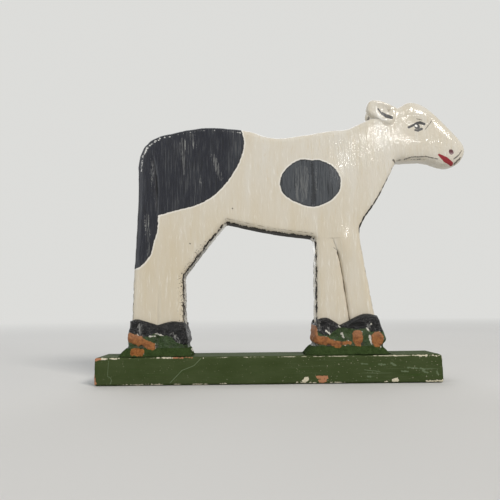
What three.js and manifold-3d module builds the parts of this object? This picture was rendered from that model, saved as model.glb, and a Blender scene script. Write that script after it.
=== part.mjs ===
// A painted wooden calf on a plinth: sawn from board, carved at its rims and screwed up from below.
// Millimetres, +Z up, +X toward the head, -Y the animal's right side.
// The origin is the middle of the plinth's underside.
import * as THREE from 'three';
import { mergeVertices } from 'three/addons/utils/BufferGeometryUtils.js';
import Module from 'manifold-3d';

const wasm = await Module();
wasm.setup();

// Plinth
const PLINTH_LENGTH = 226;
const PLINTH_DEPTH = 30;
const PLINTH_THICKNESS = 18;
const PLINTH_ARRIS = 0.8;

// Board that the animal is sawn from, and the rounding carved along its rims
const BOARD_THICKNESS = 18;
const RIM_ROUND = 3.2;
const RIM_STEPS = 3;
const CURVE_STEPS = 4;

// Glue line left between neighbours
const GLUE_LINE = 0.3;

// Feet: heel of each pair along the plinth, length of the pair, and the paring that the hooves hide
const HIND_HEEL_X = -91;
const HIND_FOOT_LENGTH = 35.7;
const FORE_HEEL_X = 32.5;
const FORE_FOOT_LENGTH = 40.5;
const FETLOCK_HEIGHT = 21;
const FOOT_PARING = 2;
const FOOT_PARING_RISE = 4;

// Side view: anchors, measured forward (run) and up (rise) from the middle of the plinth's top
const TAIL_CORNER = { run: -88.6, rise: 147 };
const RUMP = { run: -43, rise: 157.5 };
const POLL = { run: 94.5, rise: 171.2 };
const CHEST = { run: 77.3, rise: 104.6 };
const FORE_KNEE_FRONT = { run: 68.4, rise: 50 };
const BELLY_FRONT = { run: 30.6, rise: 78.9 };
const BELLY_MIDDLE = { run: 2, rise: 83 };
const GROIN = { run: -27.5, rise: 89.7 };

// Landmarks measured the same way from the anchor that they belong to
const HOCK_REAR = { from: TAIL_CORNER, run: -1.6, rise: -93 };
const TAIL_MIDDLE = { from: TAIL_CORNER, run: 0.3, rise: -43 };
const TAIL_BEND = { from: TAIL_CORNER, run: 0, rise: -18 };
const TAIL_HEAD = { from: TAIL_CORNER, run: 15.1, rise: 5 };
const LOIN = { from: RUMP, run: 29, rise: -2.3 };
const BACK_DIP = { from: RUMP, run: 51.5, rise: -8.3 };
const WITHERS = { from: RUMP, run: 87, rise: -3.5 };
const CREST = { from: WITHERS, run: 14, rise: 1.4 };
const NAPE = { from: WITHERS, run: 29, rise: 7.8 };
const FOREHEAD = { from: POLL, run: 9.5, rise: 4.4 };
const BROW = { from: POLL, run: 22.2, rise: -0.9 };
const MUZZLE = { from: POLL, run: 46.8, rise: -31.4 };
const NOSE_BRIDGE = { from: MUZZLE, run: -5.6, rise: 10.6 };
const LIP = { from: MUZZLE, run: -6, rise: -9.6 };
const CHIN = { from: LIP, run: -9.7, rise: -1.9 };
const JAW = { from: CHIN, run: -14.9, rise: 4.2 };
const THROAT = { from: JAW, run: -18.7, rise: -0.6 };
const FORE_ELBOW_FRONT = { from: BELLY_FRONT, run: 33.7, rise: 0.1 };
const BRISKET = { from: FORE_ELBOW_FRONT, run: 2.6, rise: 10.6 };
const FORE_ELBOW_REAR = { from: BELLY_FRONT, run: 2.8, rise: -5 };
const STIFLE = { from: GROIN, run: -14, rise: -17.2 };
const HOCK_FRONT = { from: GROIN, run: -28.7, rise: -36.7 };

// Head carved thinner over this length, back from the muzzle
const HEAD_TAPER_LENGTH = 70;
const MUZZLE_THICKNESS = 11;

// Fore legs: butted under the trunk at the height of the seam's top, parted along the seam
const SEAM_TOP = { from: BELLY_FRONT, run: 14.4, rise: -0.9 };
const SEAM_KNEE = { from: SEAM_TOP, run: 5, rise: -18 };
const SEAM_FETLOCK = { from: SEAM_TOP, run: 9, rise: -49 };
const SEAM_SOLE_RUN = 12.5;

// Carved lines: how far a round gouge of this radius goes below the face
const GOUGE_RADIUS = 1.5;
const GOUGE_SIDES = 8;
const GOUGE_STEPS = 12;
const SEAM_LINE_DEPTH = 0.9;
const SEAM_LINE_TOP = { from: SEAM_TOP, run: 2.5, rise: -7.5 };
const TAIL_LINE_DEPTH = 1.3;
const HIND_LINE_DEPTH = 0.7;
const TAIL_LINE_TOP = { from: TAIL_CORNER, run: 9.6, rise: -5 };
const TAIL_LINE_MIDDLE = { from: TAIL_CORNER, run: 13.1, rise: -27 };
const TAIL_LINE_END = { from: TAIL_CORNER, run: 14.1, rise: -63 };
const HIND_LINE_TOP_HEIGHT = 62;

// Ears: leaf-shaped chips let into the sides of the poll, each with a gouged cup
const EAR_LENGTH = 18.7;
const EAR_WIDTH = 13.5;
const EAR_ROOT_WIDTH = 13;
const EAR_TIP_WIDTH = 8.5;
const EAR_THICKNESS = 4.7;
const EAR_ROUND = 1.8;
const EAR_ROOT = { from: POLL, run: -3.5, rise: -7 };
const EAR_LEAN = 22;
const EAR_STANDS_OUT = 0.2;
const EAR_CUP_LENGTH = 16;
const EAR_CUP_WIDTH = 9;
const EAR_CUP_LEAN = 38;
const EAR_CUP_REACH = 6.5;
const EAR_CUP_DEPTH = 0.9;
const EAR_CUP_SIDES = 12;
const LEFT_EAR_FORWARD = 2.5;

// Hooves: composition lumps modelled round the feet, arched along their crowns
const HOOF_SWELL = 2.6;
const HOOF_ROUND = 2.4;
const HOOF_TOE_ROUND = 4.2;
const HOOF_SHOULDER_DROP = 1.2;
const HIND_NOTCH_HEIGHT = 20.4;
const FORE_NOTCH_HEIGHT = 19;
const HIND_REAR_CROWN = { height: 24.2, inset: 5 };
const HIND_FRONT_CROWN = { height: 22.8, inset: 8 };
const FORE_REAR_CROWN = { height: 24, inset: 7 };
const FORE_FRONT_CROWN = { height: 26.2, inset: 10 };
const HEEL_FLARE = 1.6;
const HIND_TOE_FLARE = 2.4;
const FORE_TOE_FLARE = 4.4;
const HIND_REAR_HOOF_LENGTH = 18;
const FORE_REAR_HOOF_LENGTH = 15.5;

// Mounds: low skirts of the same composition that bed the feet on the plinth
const MOUND_HEIGHT = 5.4;
const MOUND_REACH = 8;
const MOUND_SLOPE = 5;
const HIND_MOUND_TOE_REACH = 5;
const HIND_MOUND_TOE_SLOPE = 2;
const MOUND_SETBACK = 1;
const MOUND_SIDE_SLOPE = 1.8;
const MOUND_LIP = 0.8;
const MOUND_CORNER = 7;

// Foot screws: slotted, countersunk, driven up through the plinth into the end grain
const SCREW_LENGTH = 36;
const SCREW_DIAMETER = 4;
const SCREW_HEAD_DIAMETER = 8;
const SCREW_HEAD_HEIGHT = 2.6;
const SCREW_POINT = 5;
const SCREW_SLOT_WIDTH = 1;
const SCREW_SLOT_DEPTH = 1.2;
const SCREW_RECESS = 0.6;
const SCREW_SIDES = 16;
const SCREW_FIT = 0.3;
const HIND_SCREW_INSET = 9;

// Dowels between the trunk and the fore legs
const DOWEL_LENGTH = 24;
const DOWEL_DIAMETER = 5;
const DOWEL_CHAMFER = 0.8;
const DOWEL_SIDES = 16;
const DOWEL_FIT = 0.3;

// Paint and bare materials
const CREAM_PAINT = { color: 0xd8cfba, roughness: 0.38, metalness: 0 };
const BLACK_PAINT = { color: 0x2b2f36, roughness: 0.35, metalness: 0 };
const GREEN_PAINT = { color: 0x36482a, roughness: 0.5, metalness: 0 };
const BARE_BEECH = { color: 0xc9a678, roughness: 0.7, metalness: 0 };
const SCREW_STEEL = { color: 0x8c8a86, roughness: 0.4, metalness: 1 };

const plinthTop = PLINTH_THICKNESS;
const soleHeight = GLUE_LINE;
const hindToeX = HIND_HEEL_X + HIND_FOOT_LENGTH;
const foreToeX = FORE_HEEL_X + FORE_FOOT_LENGTH;
const hindPartingX = HIND_HEEL_X + HIND_REAR_HOOF_LENGTH;
const forePartingX = FORE_HEEL_X + FORE_REAR_HOOF_LENGTH;

// A point of the side view, from its distance along the plinth and its height above the plinth
function point(x, h) {
  return new THREE.Vector2(x, plinthTop + h);
}

// Place of a landmark in the side view, followed back through its anchors
function at(landmark) {
  const base = landmark.from ? at(landmark.from) : point(0, 0);
  return base.add(new THREE.Vector2(landmark.run, landmark.rise));
}

const seamTop = at(SEAM_TOP);
const seamSoleX = seamTop.x + SEAM_SOLE_RUN;
const legRearX = Math.min(at(BELLY_FRONT).x, FORE_HEEL_X);

function lineTo(path, target) {
  path.lineTo(target.x, target.y);
}

// Closed triangle mesh to a solid that can be joined and cut, without the flat triangles at poles
function solid(geometry) {
  geometry.deleteAttribute('normal');
  geometry.deleteAttribute('uv');
  const merged = mergeVertices(geometry);
  const index = merged.index.array;
  const triVerts = [];
  for (let i = 0; i < index.length; i += 3) {
    const corners = [index[i], index[i + 1], index[i + 2]];
    if (new Set(corners).size === corners.length) triVerts.push(...corners);
  }
  return new wasm.Manifold(new wasm.Mesh({
    numProp: 3,
    vertProperties: Float32Array.from(merged.attributes.position.array),
    triVerts: Uint32Array.from(triVerts),
  }));
}

function toGeometry(body) {
  const mesh = body.getMesh();
  const geometry = new THREE.BufferGeometry();
  geometry.setAttribute('position', new THREE.BufferAttribute(mesh.vertProperties, 3));
  geometry.setIndex(new THREE.BufferAttribute(mesh.triVerts, 1));
  return geometry;
}

function box(from, to) {
  const size = to.clone().sub(from);
  const middle = from.clone().add(to).divideScalar(2);
  const geometry = new THREE.BoxGeometry(size.x, size.y, size.z);
  return solid(geometry.translate(middle.x, middle.y, middle.z));
}

// Round bar on a vertical axis, from pairs of radius and height
function turned(profile, sides, x) {
  const points = profile.map(([radius, z]) => new THREE.Vector2(radius, z));
  const geometry = new THREE.LatheGeometry(points, sides);
  return solid(geometry.rotateX(Math.PI / 2).translate(x, 0, 0));
}

// Board sawn to a side-view outline: rims rounded, whole surface grown outward, middle at the given y
function board(outline, thickness, round, grow = 0, middle = 0) {
  const depth = thickness + 2 * grow - 2 * round;
  const geometry = new THREE.ExtrudeGeometry(outline, {
    depth,
    bevelThickness: round,
    bevelSize: round,
    bevelOffset: grow - round,
    bevelSegments: RIM_STEPS,
    curveSegments: CURVE_STEPS,
  });
  return solid(geometry.translate(0, 0, -depth / 2).rotateX(Math.PI / 2).translate(0, middle, 0));
}

// Straight block through the board and past both faces, on a side-view outline
function throughBlock(outline) {
  const depth = 2 * BOARD_THICKNESS;
  const geometry = new THREE.ExtrudeGeometry(outline, {
    depth,
    bevelEnabled: false,
    curveSegments: CURVE_STEPS,
  });
  return solid(geometry.translate(0, 0, -depth / 2).rotateX(Math.PI / 2));
}

// Slab laid flat on a plan outline, with its upper and lower edges sloped or chamfered
function slab(outline, bottom, top, slopeWidth, slopeHeight, steps) {
  const geometry = new THREE.ExtrudeGeometry(outline, {
    depth: top - bottom - 2 * slopeHeight,
    bevelThickness: slopeHeight,
    bevelSize: slopeWidth,
    bevelOffset: -slopeWidth,
    bevelSegments: steps,
    curveSegments: CURVE_STEPS,
  });
  return solid(geometry.translate(0, 0, bottom + slopeHeight));
}

// The whole animal in side view, from the hind heel round over the back
function sideOutline() {
  const outline = new THREE.Shape();
  const paringTop = FETLOCK_HEIGHT;
  const paringFoot = FETLOCK_HEIGHT - FOOT_PARING_RISE;
  const start = point(HIND_HEEL_X + FOOT_PARING, soleHeight);
  outline.moveTo(start.x, start.y);
  lineTo(outline, point(HIND_HEEL_X + FOOT_PARING, paringFoot));
  lineTo(outline, point(HIND_HEEL_X, paringTop));
  outline.splineThru([HOCK_REAR, TAIL_MIDDLE, TAIL_BEND].map(at));
  const corner = at(TAIL_CORNER);
  const tailHead = at(TAIL_HEAD);
  outline.quadraticCurveTo(corner.x, corner.y, tailHead.x, tailHead.y);
  outline.splineThru([RUMP, LOIN, BACK_DIP, WITHERS, CREST, NAPE].map(at));
  outline.splineThru([POLL, FOREHEAD, BROW, NOSE_BRIDGE, MUZZLE, LIP, CHIN, JAW, THROAT].map(at));
  outline.splineThru([CHEST, BRISKET, FORE_ELBOW_FRONT, FORE_KNEE_FRONT].map(at));
  lineTo(outline, point(foreToeX, paringTop));
  lineTo(outline, point(foreToeX - FOOT_PARING, paringFoot));
  lineTo(outline, point(foreToeX - FOOT_PARING, soleHeight));
  lineTo(outline, point(FORE_HEEL_X + FOOT_PARING, soleHeight));
  lineTo(outline, point(FORE_HEEL_X + FOOT_PARING, paringFoot));
  lineTo(outline, point(FORE_HEEL_X, paringTop));
  const elbowRear = at(FORE_ELBOW_REAR);
  const bellyFront = at(BELLY_FRONT);
  lineTo(outline, elbowRear);
  outline.quadraticCurveTo(elbowRear.x, bellyFront.y, bellyFront.x, bellyFront.y);
  outline.splineThru([BELLY_MIDDLE, GROIN].map(at));
  outline.splineThru([STIFLE, HOCK_FRONT].map(at));
  lineTo(outline, point(hindToeX, paringTop));
  lineTo(outline, point(hindToeX - FOOT_PARING, paringFoot));
  lineTo(outline, point(hindToeX - FOOT_PARING, soleHeight));
  return outline;
}

// Both faces of the head pared down in a straight taper from the nape to the muzzle
function taperHead(blank) {
  const far = PLINTH_LENGTH;
  const muzzle = at(MUZZLE);
  const startX = muzzle.x - HEAD_TAPER_LENGTH;
  const headSide = box(new THREE.Vector3(startX, -far, seamTop.y),
    new THREE.Vector3(muzzle.x + far, far, muzzle.y + far));
  const head = toGeometry(blank.intersect(headSide));
  const position = head.attributes.position;
  const loss = 1 - MUZZLE_THICKNESS / BOARD_THICKNESS;
  for (let i = 0; i < position.count; i += 1) {
    const share = (position.getX(i) - startX) / HEAD_TAPER_LENGTH;
    position.setY(i, position.getY(i) * (1 - loss * share));
  }
  return blank.subtract(headSide).add(solid(head));
}

// Gouged line along a route on one face, running out at both ends
function gouge(route, depth, side) {
  const face = BOARD_THICKNESS / 2;
  const last = route.length - 1;
  const points = route.map((p, i) => {
    const sunk = i === 0 || i === last ? 0 : depth;
    return new THREE.Vector3(p.x, side * (face + GOUGE_RADIUS - sunk), p.y);
  });
  const section = new THREE.Shape().absarc(0, 0, GOUGE_RADIUS, 0, 2 * Math.PI);
  return solid(new THREE.ExtrudeGeometry(section, {
    steps: GOUGE_STEPS,
    curveSegments: GOUGE_SIDES / 2,
    extrudePath: new THREE.CatmullRomCurve3(points),
  }));
}

// Points of the seam between the fore legs, from the joint down to the soles
function seamRoute() {
  return [seamTop, at(SEAM_KNEE), at(SEAM_FETLOCK), point(seamSoleX, soleHeight)];
}

// Block that holds the rear fore leg as far as the seam, less or more by the shift
function rearLegBlock(shift) {
  const seam = seamRoute().map((p) => new THREE.Vector2(p.x + shift, p.y));
  const block = new THREE.Shape();
  block.moveTo(legRearX, seam[0].y);
  block.lineTo(seam[0].x, seam[0].y);
  block.splineThru(seam.slice(1));
  block.lineTo(legRearX, plinthTop);
  return throughBlock(block);
}

// Leaf outline of an ear, from its root to its blunt tip
function earOutline(root) {
  const lean = EAR_LEAN * THREE.MathUtils.DEG2RAD;
  const along = new THREE.Vector2(-Math.cos(lean), Math.sin(lean));
  const across = new THREE.Vector2(along.y, -along.x);
  const place = (u, v) => root.clone().addScaledVector(along, u).addScaledVector(across, v);
  const points = [place(0, EAR_ROOT_WIDTH / 2), place(EAR_LENGTH / 2, EAR_WIDTH / 2),
    place(EAR_LENGTH, EAR_TIP_WIDTH / 2), place(EAR_LENGTH, -EAR_TIP_WIDTH / 2),
    place(EAR_LENGTH / 2, -EAR_WIDTH / 2), place(0, -EAR_ROOT_WIDTH / 2)];
  const outline = new THREE.Shape();
  outline.moveTo(points[0].x, points[0].y);
  outline.splineThru([...points.slice(1), points[0]]);
  return outline;
}

// Hollow of an ear, half an egg sunk into its outer face and open toward its root
function earCup(root, y) {
  const lean = EAR_LEAN * THREE.MathUtils.DEG2RAD;
  const x = root.x - EAR_CUP_REACH * Math.cos(lean);
  const z = root.y + EAR_CUP_REACH * Math.sin(lean);
  const egg = new THREE.SphereGeometry(1, EAR_CUP_SIDES, EAR_CUP_SIDES / 2);
  egg.scale(EAR_CUP_LENGTH / 2, EAR_CUP_DEPTH, EAR_CUP_WIDTH / 2);
  return solid(egg.rotateY(EAR_CUP_LEAN * THREE.MathUtils.DEG2RAD).translate(x, y, z));
}

// Side view of one hoof between the parting and the leg's outer edge, flared at its sole
function hoofOutline(parting, edge, flare, crown, notch) {
  const out = Math.sign(edge - parting);
  const inner = parting + out * GLUE_LINE / 2;
  const outer = edge + out * flare;
  const sole = MOUND_HEIGHT + GLUE_LINE;
  const outline = new THREE.Shape();
  const start = point(inner, sole);
  outline.moveTo(start.x, start.y);
  lineTo(outline, point(outer - out * HOOF_TOE_ROUND, sole));
  const tip = point(outer, sole);
  const wall = point(outer, sole + HOOF_TOE_ROUND);
  outline.quadraticCurveTo(tip.x, tip.y, wall.x, wall.y);
  lineTo(outline, point(edge, crown.height - HOOF_SHOULDER_DROP));
  outline.splineThru([point(edge - out * crown.inset, crown.height), point(inner, notch)]);
  return outline;
}

// Plan of a rectangle with rounded corners
function roundedPlan(x0, x1, halfDepth, corner) {
  const plan = new THREE.Shape();
  plan.moveTo(x0 + corner, -halfDepth);
  plan.lineTo(x1 - corner, -halfDepth);
  plan.quadraticCurveTo(x1, -halfDepth, x1, -halfDepth + corner);
  plan.lineTo(x1, halfDepth - corner);
  plan.quadraticCurveTo(x1, halfDepth, x1 - corner, halfDepth);
  plan.lineTo(x0 + corner, halfDepth);
  plan.quadraticCurveTo(x0, halfDepth, x0, halfDepth - corner);
  plan.lineTo(x0, -halfDepth + corner);
  plan.quadraticCurveTo(x0, -halfDepth, x0 + corner, -halfDepth);
  return plan;
}

// Plate of the mounds' lip, laid flat on a plan outline
function lipPlate(plan, bottom) {
  const geometry = new THREE.ExtrudeGeometry(plan, {
    depth: MOUND_LIP,
    bevelEnabled: false,
    curveSegments: CURVE_STEPS,
  });
  return solid(geometry.translate(0, 0, bottom));
}

// Skirt that beds a pair of feet on the plinth, drawn in all round from its foot to its top
function mound(rearEnd, frontEnd, frontSlope) {
  const base = plinthTop + GLUE_LINE;
  const top = plinthTop + MOUND_HEIGHT;
  const halfDepth = PLINTH_DEPTH / 2 - MOUND_SETBACK;
  const foot = roundedPlan(rearEnd, frontEnd, halfDepth, MOUND_CORNER);
  const bed = roundedPlan(rearEnd + MOUND_SLOPE, frontEnd - frontSlope, halfDepth - MOUND_SIDE_SLOPE,
    MOUND_CORNER);
  return wasm.Manifold.hull([lipPlate(foot, base), lipPlate(bed, top - MOUND_LIP)]);
}

// Countersunk screw pointing up, or the hole that clears it by the fit
function screwProfile(fit) {
  const head = SCREW_HEAD_DIAMETER / 2 + fit;
  const shank = SCREW_DIAMETER / 2 + fit;
  const under = SCREW_RECESS - (fit > 0 ? 2 * SCREW_RECESS : 0);
  const tip = SCREW_RECESS + SCREW_LENGTH;
  return [[0, under], [head, under], [head, SCREW_RECESS], [shank, SCREW_RECESS + SCREW_HEAD_HEIGHT],
    [shank, tip - SCREW_POINT + fit], [0, tip + fit]];
}

// Dowel with chamfered ends, standing across the joint
function dowelProfile(fit) {
  const bottom = seamTop.y - DOWEL_LENGTH / 2 - fit;
  const top = seamTop.y + DOWEL_LENGTH / 2 + fit;
  const radius = DOWEL_DIAMETER / 2 + fit;
  const end = radius - DOWEL_CHAMFER;
  return [[0, bottom], [end, bottom], [radius, bottom + DOWEL_CHAMFER],
    [radius, top - DOWEL_CHAMFER], [end, top], [0, top]];
}

const cow = new THREE.Group();

function addPiece(name, body, finish) {
  const geometry = toGeometry(body);
  geometry.computeVertexNormals();
  const mesh = new THREE.Mesh(geometry, new THREE.MeshStandardMaterial(finish));
  mesh.name = name;
  cow.add(mesh);
}

// Blank of the whole animal, its grown twin that cuts seats, and the lines gouged on both faces
const blank = board(sideOutline(), BOARD_THICKNESS, RIM_ROUND);
const seat = board(sideOutline(), BOARD_THICKNESS, RIM_ROUND, GLUE_LINE);
const tailLine = [TAIL_LINE_TOP, TAIL_LINE_MIDDLE, TAIL_LINE_END].map(at);
const hindLine = [point(hindPartingX, HIND_LINE_TOP_HEIGHT), point(hindPartingX, FETLOCK_HEIGHT),
  point(hindPartingX, soleHeight)];
const seamLine = [at(SEAM_LINE_TOP), ...seamRoute().slice(1)];
let carved = taperHead(blank);
for (const side of [-1, 1]) {
  carved = carved.subtract(gouge(tailLine, TAIL_LINE_DEPTH, side));
  carved = carved.subtract(gouge(hindLine, HIND_LINE_DEPTH, side));
  carved = carved.subtract(gouge(seamLine, SEAM_LINE_DEPTH, side));
}

// Trunk and fore legs, parted at the joint and along the seam
const legRoom = (top) => box(new THREE.Vector3(legRearX, -PLINTH_DEPTH, 0),
  new THREE.Vector3(foreToeX + PLINTH_DEPTH, PLINTH_DEPTH, top));
let trunk = carved.subtract(legRoom(seamTop.y));
const legs = carved.intersect(legRoom(seamTop.y - GLUE_LINE));
const foreLegs = [
  { name: 'rear', body: legs.intersect(rearLegBlock(-GLUE_LINE / 2)),
    dowelX: (at(FORE_ELBOW_REAR).x + seamTop.x) / 2, screwX: (FORE_HEEL_X + seamSoleX) / 2 },
  { name: 'front', body: legs.subtract(rearLegBlock(GLUE_LINE / 2)),
    dowelX: (at(SEAM_KNEE).x + at(FORE_ELBOW_FRONT).x) / 2, screwX: (seamSoleX + foreToeX) / 2 },
];
for (const leg of foreLegs) {
  const dowelHole = turned(dowelProfile(DOWEL_FIT), DOWEL_SIDES, leg.dowelX);
  const screwHole = turned(screwProfile(SCREW_FIT), SCREW_SIDES, leg.screwX);
  trunk = trunk.subtract(dowelHole);
  addPiece(`fore_leg_${leg.name}`, leg.body.subtract(dowelHole).subtract(screwHole), CREAM_PAINT);
  addPiece(`fore_${leg.name}_dowel`, turned(dowelProfile(0), DOWEL_SIDES, leg.dowelX), BARE_BEECH);
}

// Ears let into the head
const earOuter = BOARD_THICKNESS / 2 + EAR_STANDS_OUT;
const earInner = earOuter - EAR_THICKNESS;
for (const [name, side, forward] of [['right_ear', -1, 0], ['left_ear', 1, LEFT_EAR_FORWARD]]) {
  const root = at(EAR_ROOT);
  root.x += forward;
  const leaf = earOutline(root);
  const pocketMiddle = side * (earInner + BOARD_THICKNESS / 2);
  trunk = trunk.subtract(board(leaf, BOARD_THICKNESS, EAR_ROUND, GLUE_LINE, pocketMiddle));
  const ear = board(leaf, EAR_THICKNESS, EAR_ROUND, 0, side * (earInner + earOuter) / 2);
  addPiece(name, ear.subtract(earCup(root, side * earOuter)), CREAM_PAINT);
}

// Plinth, screws and the trunk that two of them hold
const half = PLINTH_LENGTH / 2;
const plinthPlan = new THREE.Shape();
plinthPlan.moveTo(-half, -PLINTH_DEPTH / 2);
plinthPlan.lineTo(half, -PLINTH_DEPTH / 2);
plinthPlan.lineTo(half, PLINTH_DEPTH / 2);
plinthPlan.lineTo(-half, PLINTH_DEPTH / 2);
let plinth = slab(plinthPlan, 0, PLINTH_THICKNESS, PLINTH_ARRIS, PLINTH_ARRIS, 1);
const screws = {
  hind_rear: HIND_HEEL_X + HIND_SCREW_INSET,
  hind_front: hindToeX - HIND_SCREW_INSET,
  fore_rear: foreLegs[0].screwX,
  fore_front: foreLegs[1].screwX,
};
for (const [foot, x] of Object.entries(screws)) {
  const hole = turned(screwProfile(SCREW_FIT), SCREW_SIDES, x);
  plinth = plinth.subtract(hole);
  trunk = trunk.subtract(hole);
  const slot = box(new THREE.Vector3(x - SCREW_HEAD_DIAMETER, -SCREW_SLOT_WIDTH / 2, 0),
    new THREE.Vector3(x + SCREW_HEAD_DIAMETER, SCREW_SLOT_WIDTH / 2, SCREW_RECESS + SCREW_SLOT_DEPTH));
  addPiece(`${foot}_foot_screw`, turned(screwProfile(0), SCREW_SIDES, x).subtract(slot), SCREW_STEEL);
}
addPiece('plinth_board', plinth, GREEN_PAINT);
addPiece('cow_board', trunk, CREAM_PAINT);

// Mounds and hooves, cut to bed round the feet
const pairs = [
  { name: 'hind', heel: HIND_HEEL_X, toe: hindToeX, parting: hindPartingX, notch: HIND_NOTCH_HEIGHT,
    rearCrown: HIND_REAR_CROWN, frontCrown: HIND_FRONT_CROWN, toeFlare: HIND_TOE_FLARE,
    toeReach: HIND_MOUND_TOE_REACH, toeSlope: HIND_MOUND_TOE_SLOPE },
  { name: 'fore', heel: FORE_HEEL_X, toe: foreToeX, parting: forePartingX, notch: FORE_NOTCH_HEIGHT,
    rearCrown: FORE_REAR_CROWN, frontCrown: FORE_FRONT_CROWN, toeFlare: FORE_TOE_FLARE,
    toeReach: MOUND_REACH, toeSlope: MOUND_SLOPE },
];
const hoofDepth = BOARD_THICKNESS + 2 * HOOF_SWELL;
for (const pair of pairs) {
  const skirt = mound(pair.heel - MOUND_REACH, pair.toe + pair.toeReach, pair.toeSlope);
  addPiece(`${pair.name}_mound`, skirt.subtract(seat), GREEN_PAINT);
  const rear = hoofOutline(pair.parting, pair.heel, HEEL_FLARE, pair.rearCrown, pair.notch);
  const front = hoofOutline(pair.parting, pair.toe, pair.toeFlare, pair.frontCrown, pair.notch);
  addPiece(`${pair.name}_rear_hoof`, board(rear, hoofDepth, HOOF_ROUND).subtract(seat), BLACK_PAINT);
  addPiece(`${pair.name}_front_hoof`, board(front, hoofDepth, HOOF_ROUND).subtract(seat), BLACK_PAINT);
}

export default cow;
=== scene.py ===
# %% [markdown]
# # A painted wooden calf on a plinth
# The real object is a shelf figure. A calf was sawn from a thick board, its rims were pared round with a
# knife, and it was painted in cream and charcoal and screwed to a green plinth, with its feet bedded in
# composition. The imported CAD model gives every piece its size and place. This lesson dresses it: each piece
# gets an even skin that can be carved a little more, and a paint that is built from nodes and has aged as
# the real one has.

# %% Load the frame
import math

import bmesh
import bpy
import numpy as np
from mathutils import Matrix, Vector, kdtree, noise


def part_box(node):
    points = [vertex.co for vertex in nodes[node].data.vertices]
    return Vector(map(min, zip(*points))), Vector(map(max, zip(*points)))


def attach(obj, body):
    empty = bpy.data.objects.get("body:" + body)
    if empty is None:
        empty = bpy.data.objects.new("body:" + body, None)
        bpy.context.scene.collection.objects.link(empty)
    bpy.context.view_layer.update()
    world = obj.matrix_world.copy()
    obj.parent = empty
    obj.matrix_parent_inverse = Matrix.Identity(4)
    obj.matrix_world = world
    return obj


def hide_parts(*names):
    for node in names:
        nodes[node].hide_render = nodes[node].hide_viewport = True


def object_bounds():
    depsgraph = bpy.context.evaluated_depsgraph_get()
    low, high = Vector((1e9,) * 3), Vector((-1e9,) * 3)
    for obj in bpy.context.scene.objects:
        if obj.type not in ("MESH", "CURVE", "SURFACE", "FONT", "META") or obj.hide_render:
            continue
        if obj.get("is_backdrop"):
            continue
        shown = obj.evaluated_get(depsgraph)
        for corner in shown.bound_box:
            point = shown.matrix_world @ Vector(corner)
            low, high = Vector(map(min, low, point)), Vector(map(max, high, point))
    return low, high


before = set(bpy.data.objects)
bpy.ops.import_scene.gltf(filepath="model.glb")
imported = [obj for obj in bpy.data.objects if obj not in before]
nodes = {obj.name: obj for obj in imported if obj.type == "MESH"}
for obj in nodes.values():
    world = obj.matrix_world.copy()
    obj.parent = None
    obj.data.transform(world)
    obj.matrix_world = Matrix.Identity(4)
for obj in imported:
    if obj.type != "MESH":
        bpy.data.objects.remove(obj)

MM = 0.001
scene = bpy.context.scene
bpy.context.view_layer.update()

# %% [markdown]
# ## Camera
# The photograph was taken from close by, a little below the animal's belly and tilted up. A camera can be
# matched by eye, or worked out from known edges. Here the plinth's corners gave its place, and a focal
# length in pixels turns into a lens through the width of the sensor.

# %% Camera
PHOTO_PIXELS = 500
FOCAL_PIXELS = 490
SENSOR_WIDTH = 36
CAMERA_PLACE = Vector((-11.2, -338.7, 48.5)) * MM
CAMERA_LIFT = math.radians(6.85)
CAMERA_TILT = math.radians(-0.63)
NEAREST_VIEW = 10 * MM

lens = bpy.data.cameras.new("photo_lens")
lens.sensor_width = SENSOR_WIDTH
lens.lens = SENSOR_WIDTH * FOCAL_PIXELS / PHOTO_PIXELS
lens.clip_start = NEAREST_VIEW
camera = bpy.data.objects.new("photo_camera", lens)
level_view = Matrix.Rotation(math.pi / 2 + CAMERA_LIFT, 4, "X")
camera.matrix_world = Matrix.Translation(CAMERA_PLACE) @ level_view @ Matrix.Rotation(CAMERA_TILT, 4, "Z")
scene.collection.objects.link(camera)
scene.camera = camera
scene.view_settings.view_transform = "Standard"
print("lens in mm:", round(lens.lens, 2))

# %% [markdown]
# ## Nodes without clutter
# Shader trees and geometry trees are both made of nodes and links. One small helper makes a node, sets its
# options, and either links or fills each input, so that a tree reads like a sum. The others wrap the
# commonest nodes, such as a calculation, a soft step from 0 to 1 between two values, and noise.

# %% Node helpers


def add_node(tree, kind, inputs=None, **options):
    """A node with its options set, and its inputs linked from sockets or filled with values."""
    made = tree.nodes.new(kind)
    for option, value in options.items():
        setattr(made, option, value)
    for key, value in (inputs or {}).items():
        if isinstance(value, bpy.types.NodeSocket):
            tree.links.new(value, made.inputs[key])
        else:
            made.inputs[key].default_value = value
    return made


def calc(tree, operation, first, second=0.0, clamp=False):
    """The result of one Math node."""
    made = add_node(tree, "ShaderNodeMath", {0: first, 1: second}, operation=operation, use_clamp=clamp)
    return made.outputs[0]


def soft_step(tree, value, low, high):
    """0 at low and 1 at high, eased between them; low may be the larger."""
    made = add_node(tree, "ShaderNodeMapRange", {"Value": value, "From Min": low, "From Max": high},
                    interpolation_type="SMOOTHSTEP")
    return made.outputs[0]


def blend(tree, share, first, second):
    """A colour that goes from first to second with the share."""
    made = add_node(tree, "ShaderNodeMix", {0: share, 6: first, 7: second}, data_type="RGBA")
    return made.outputs[2]


def vector_calc(tree, operation, first, second=(0.0, 0.0, 0.0), result=0):
    """The result of one Vector Math node; result 1 is its single value."""
    made = add_node(tree, "ShaderNodeVectorMath", {0: first, 1: second}, operation=operation)
    return made.outputs[result]


def noise_node(tree, place, scale, detail, roughness=0.5):
    """The outputs of one Noise Texture node; more detail and more roughness make it more ragged."""
    made = add_node(tree, "ShaderNodeTexNoise", {"Vector": place, "Scale": scale, "Detail": detail,
                                                 "Roughness": roughness})
    return made.outputs


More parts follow.
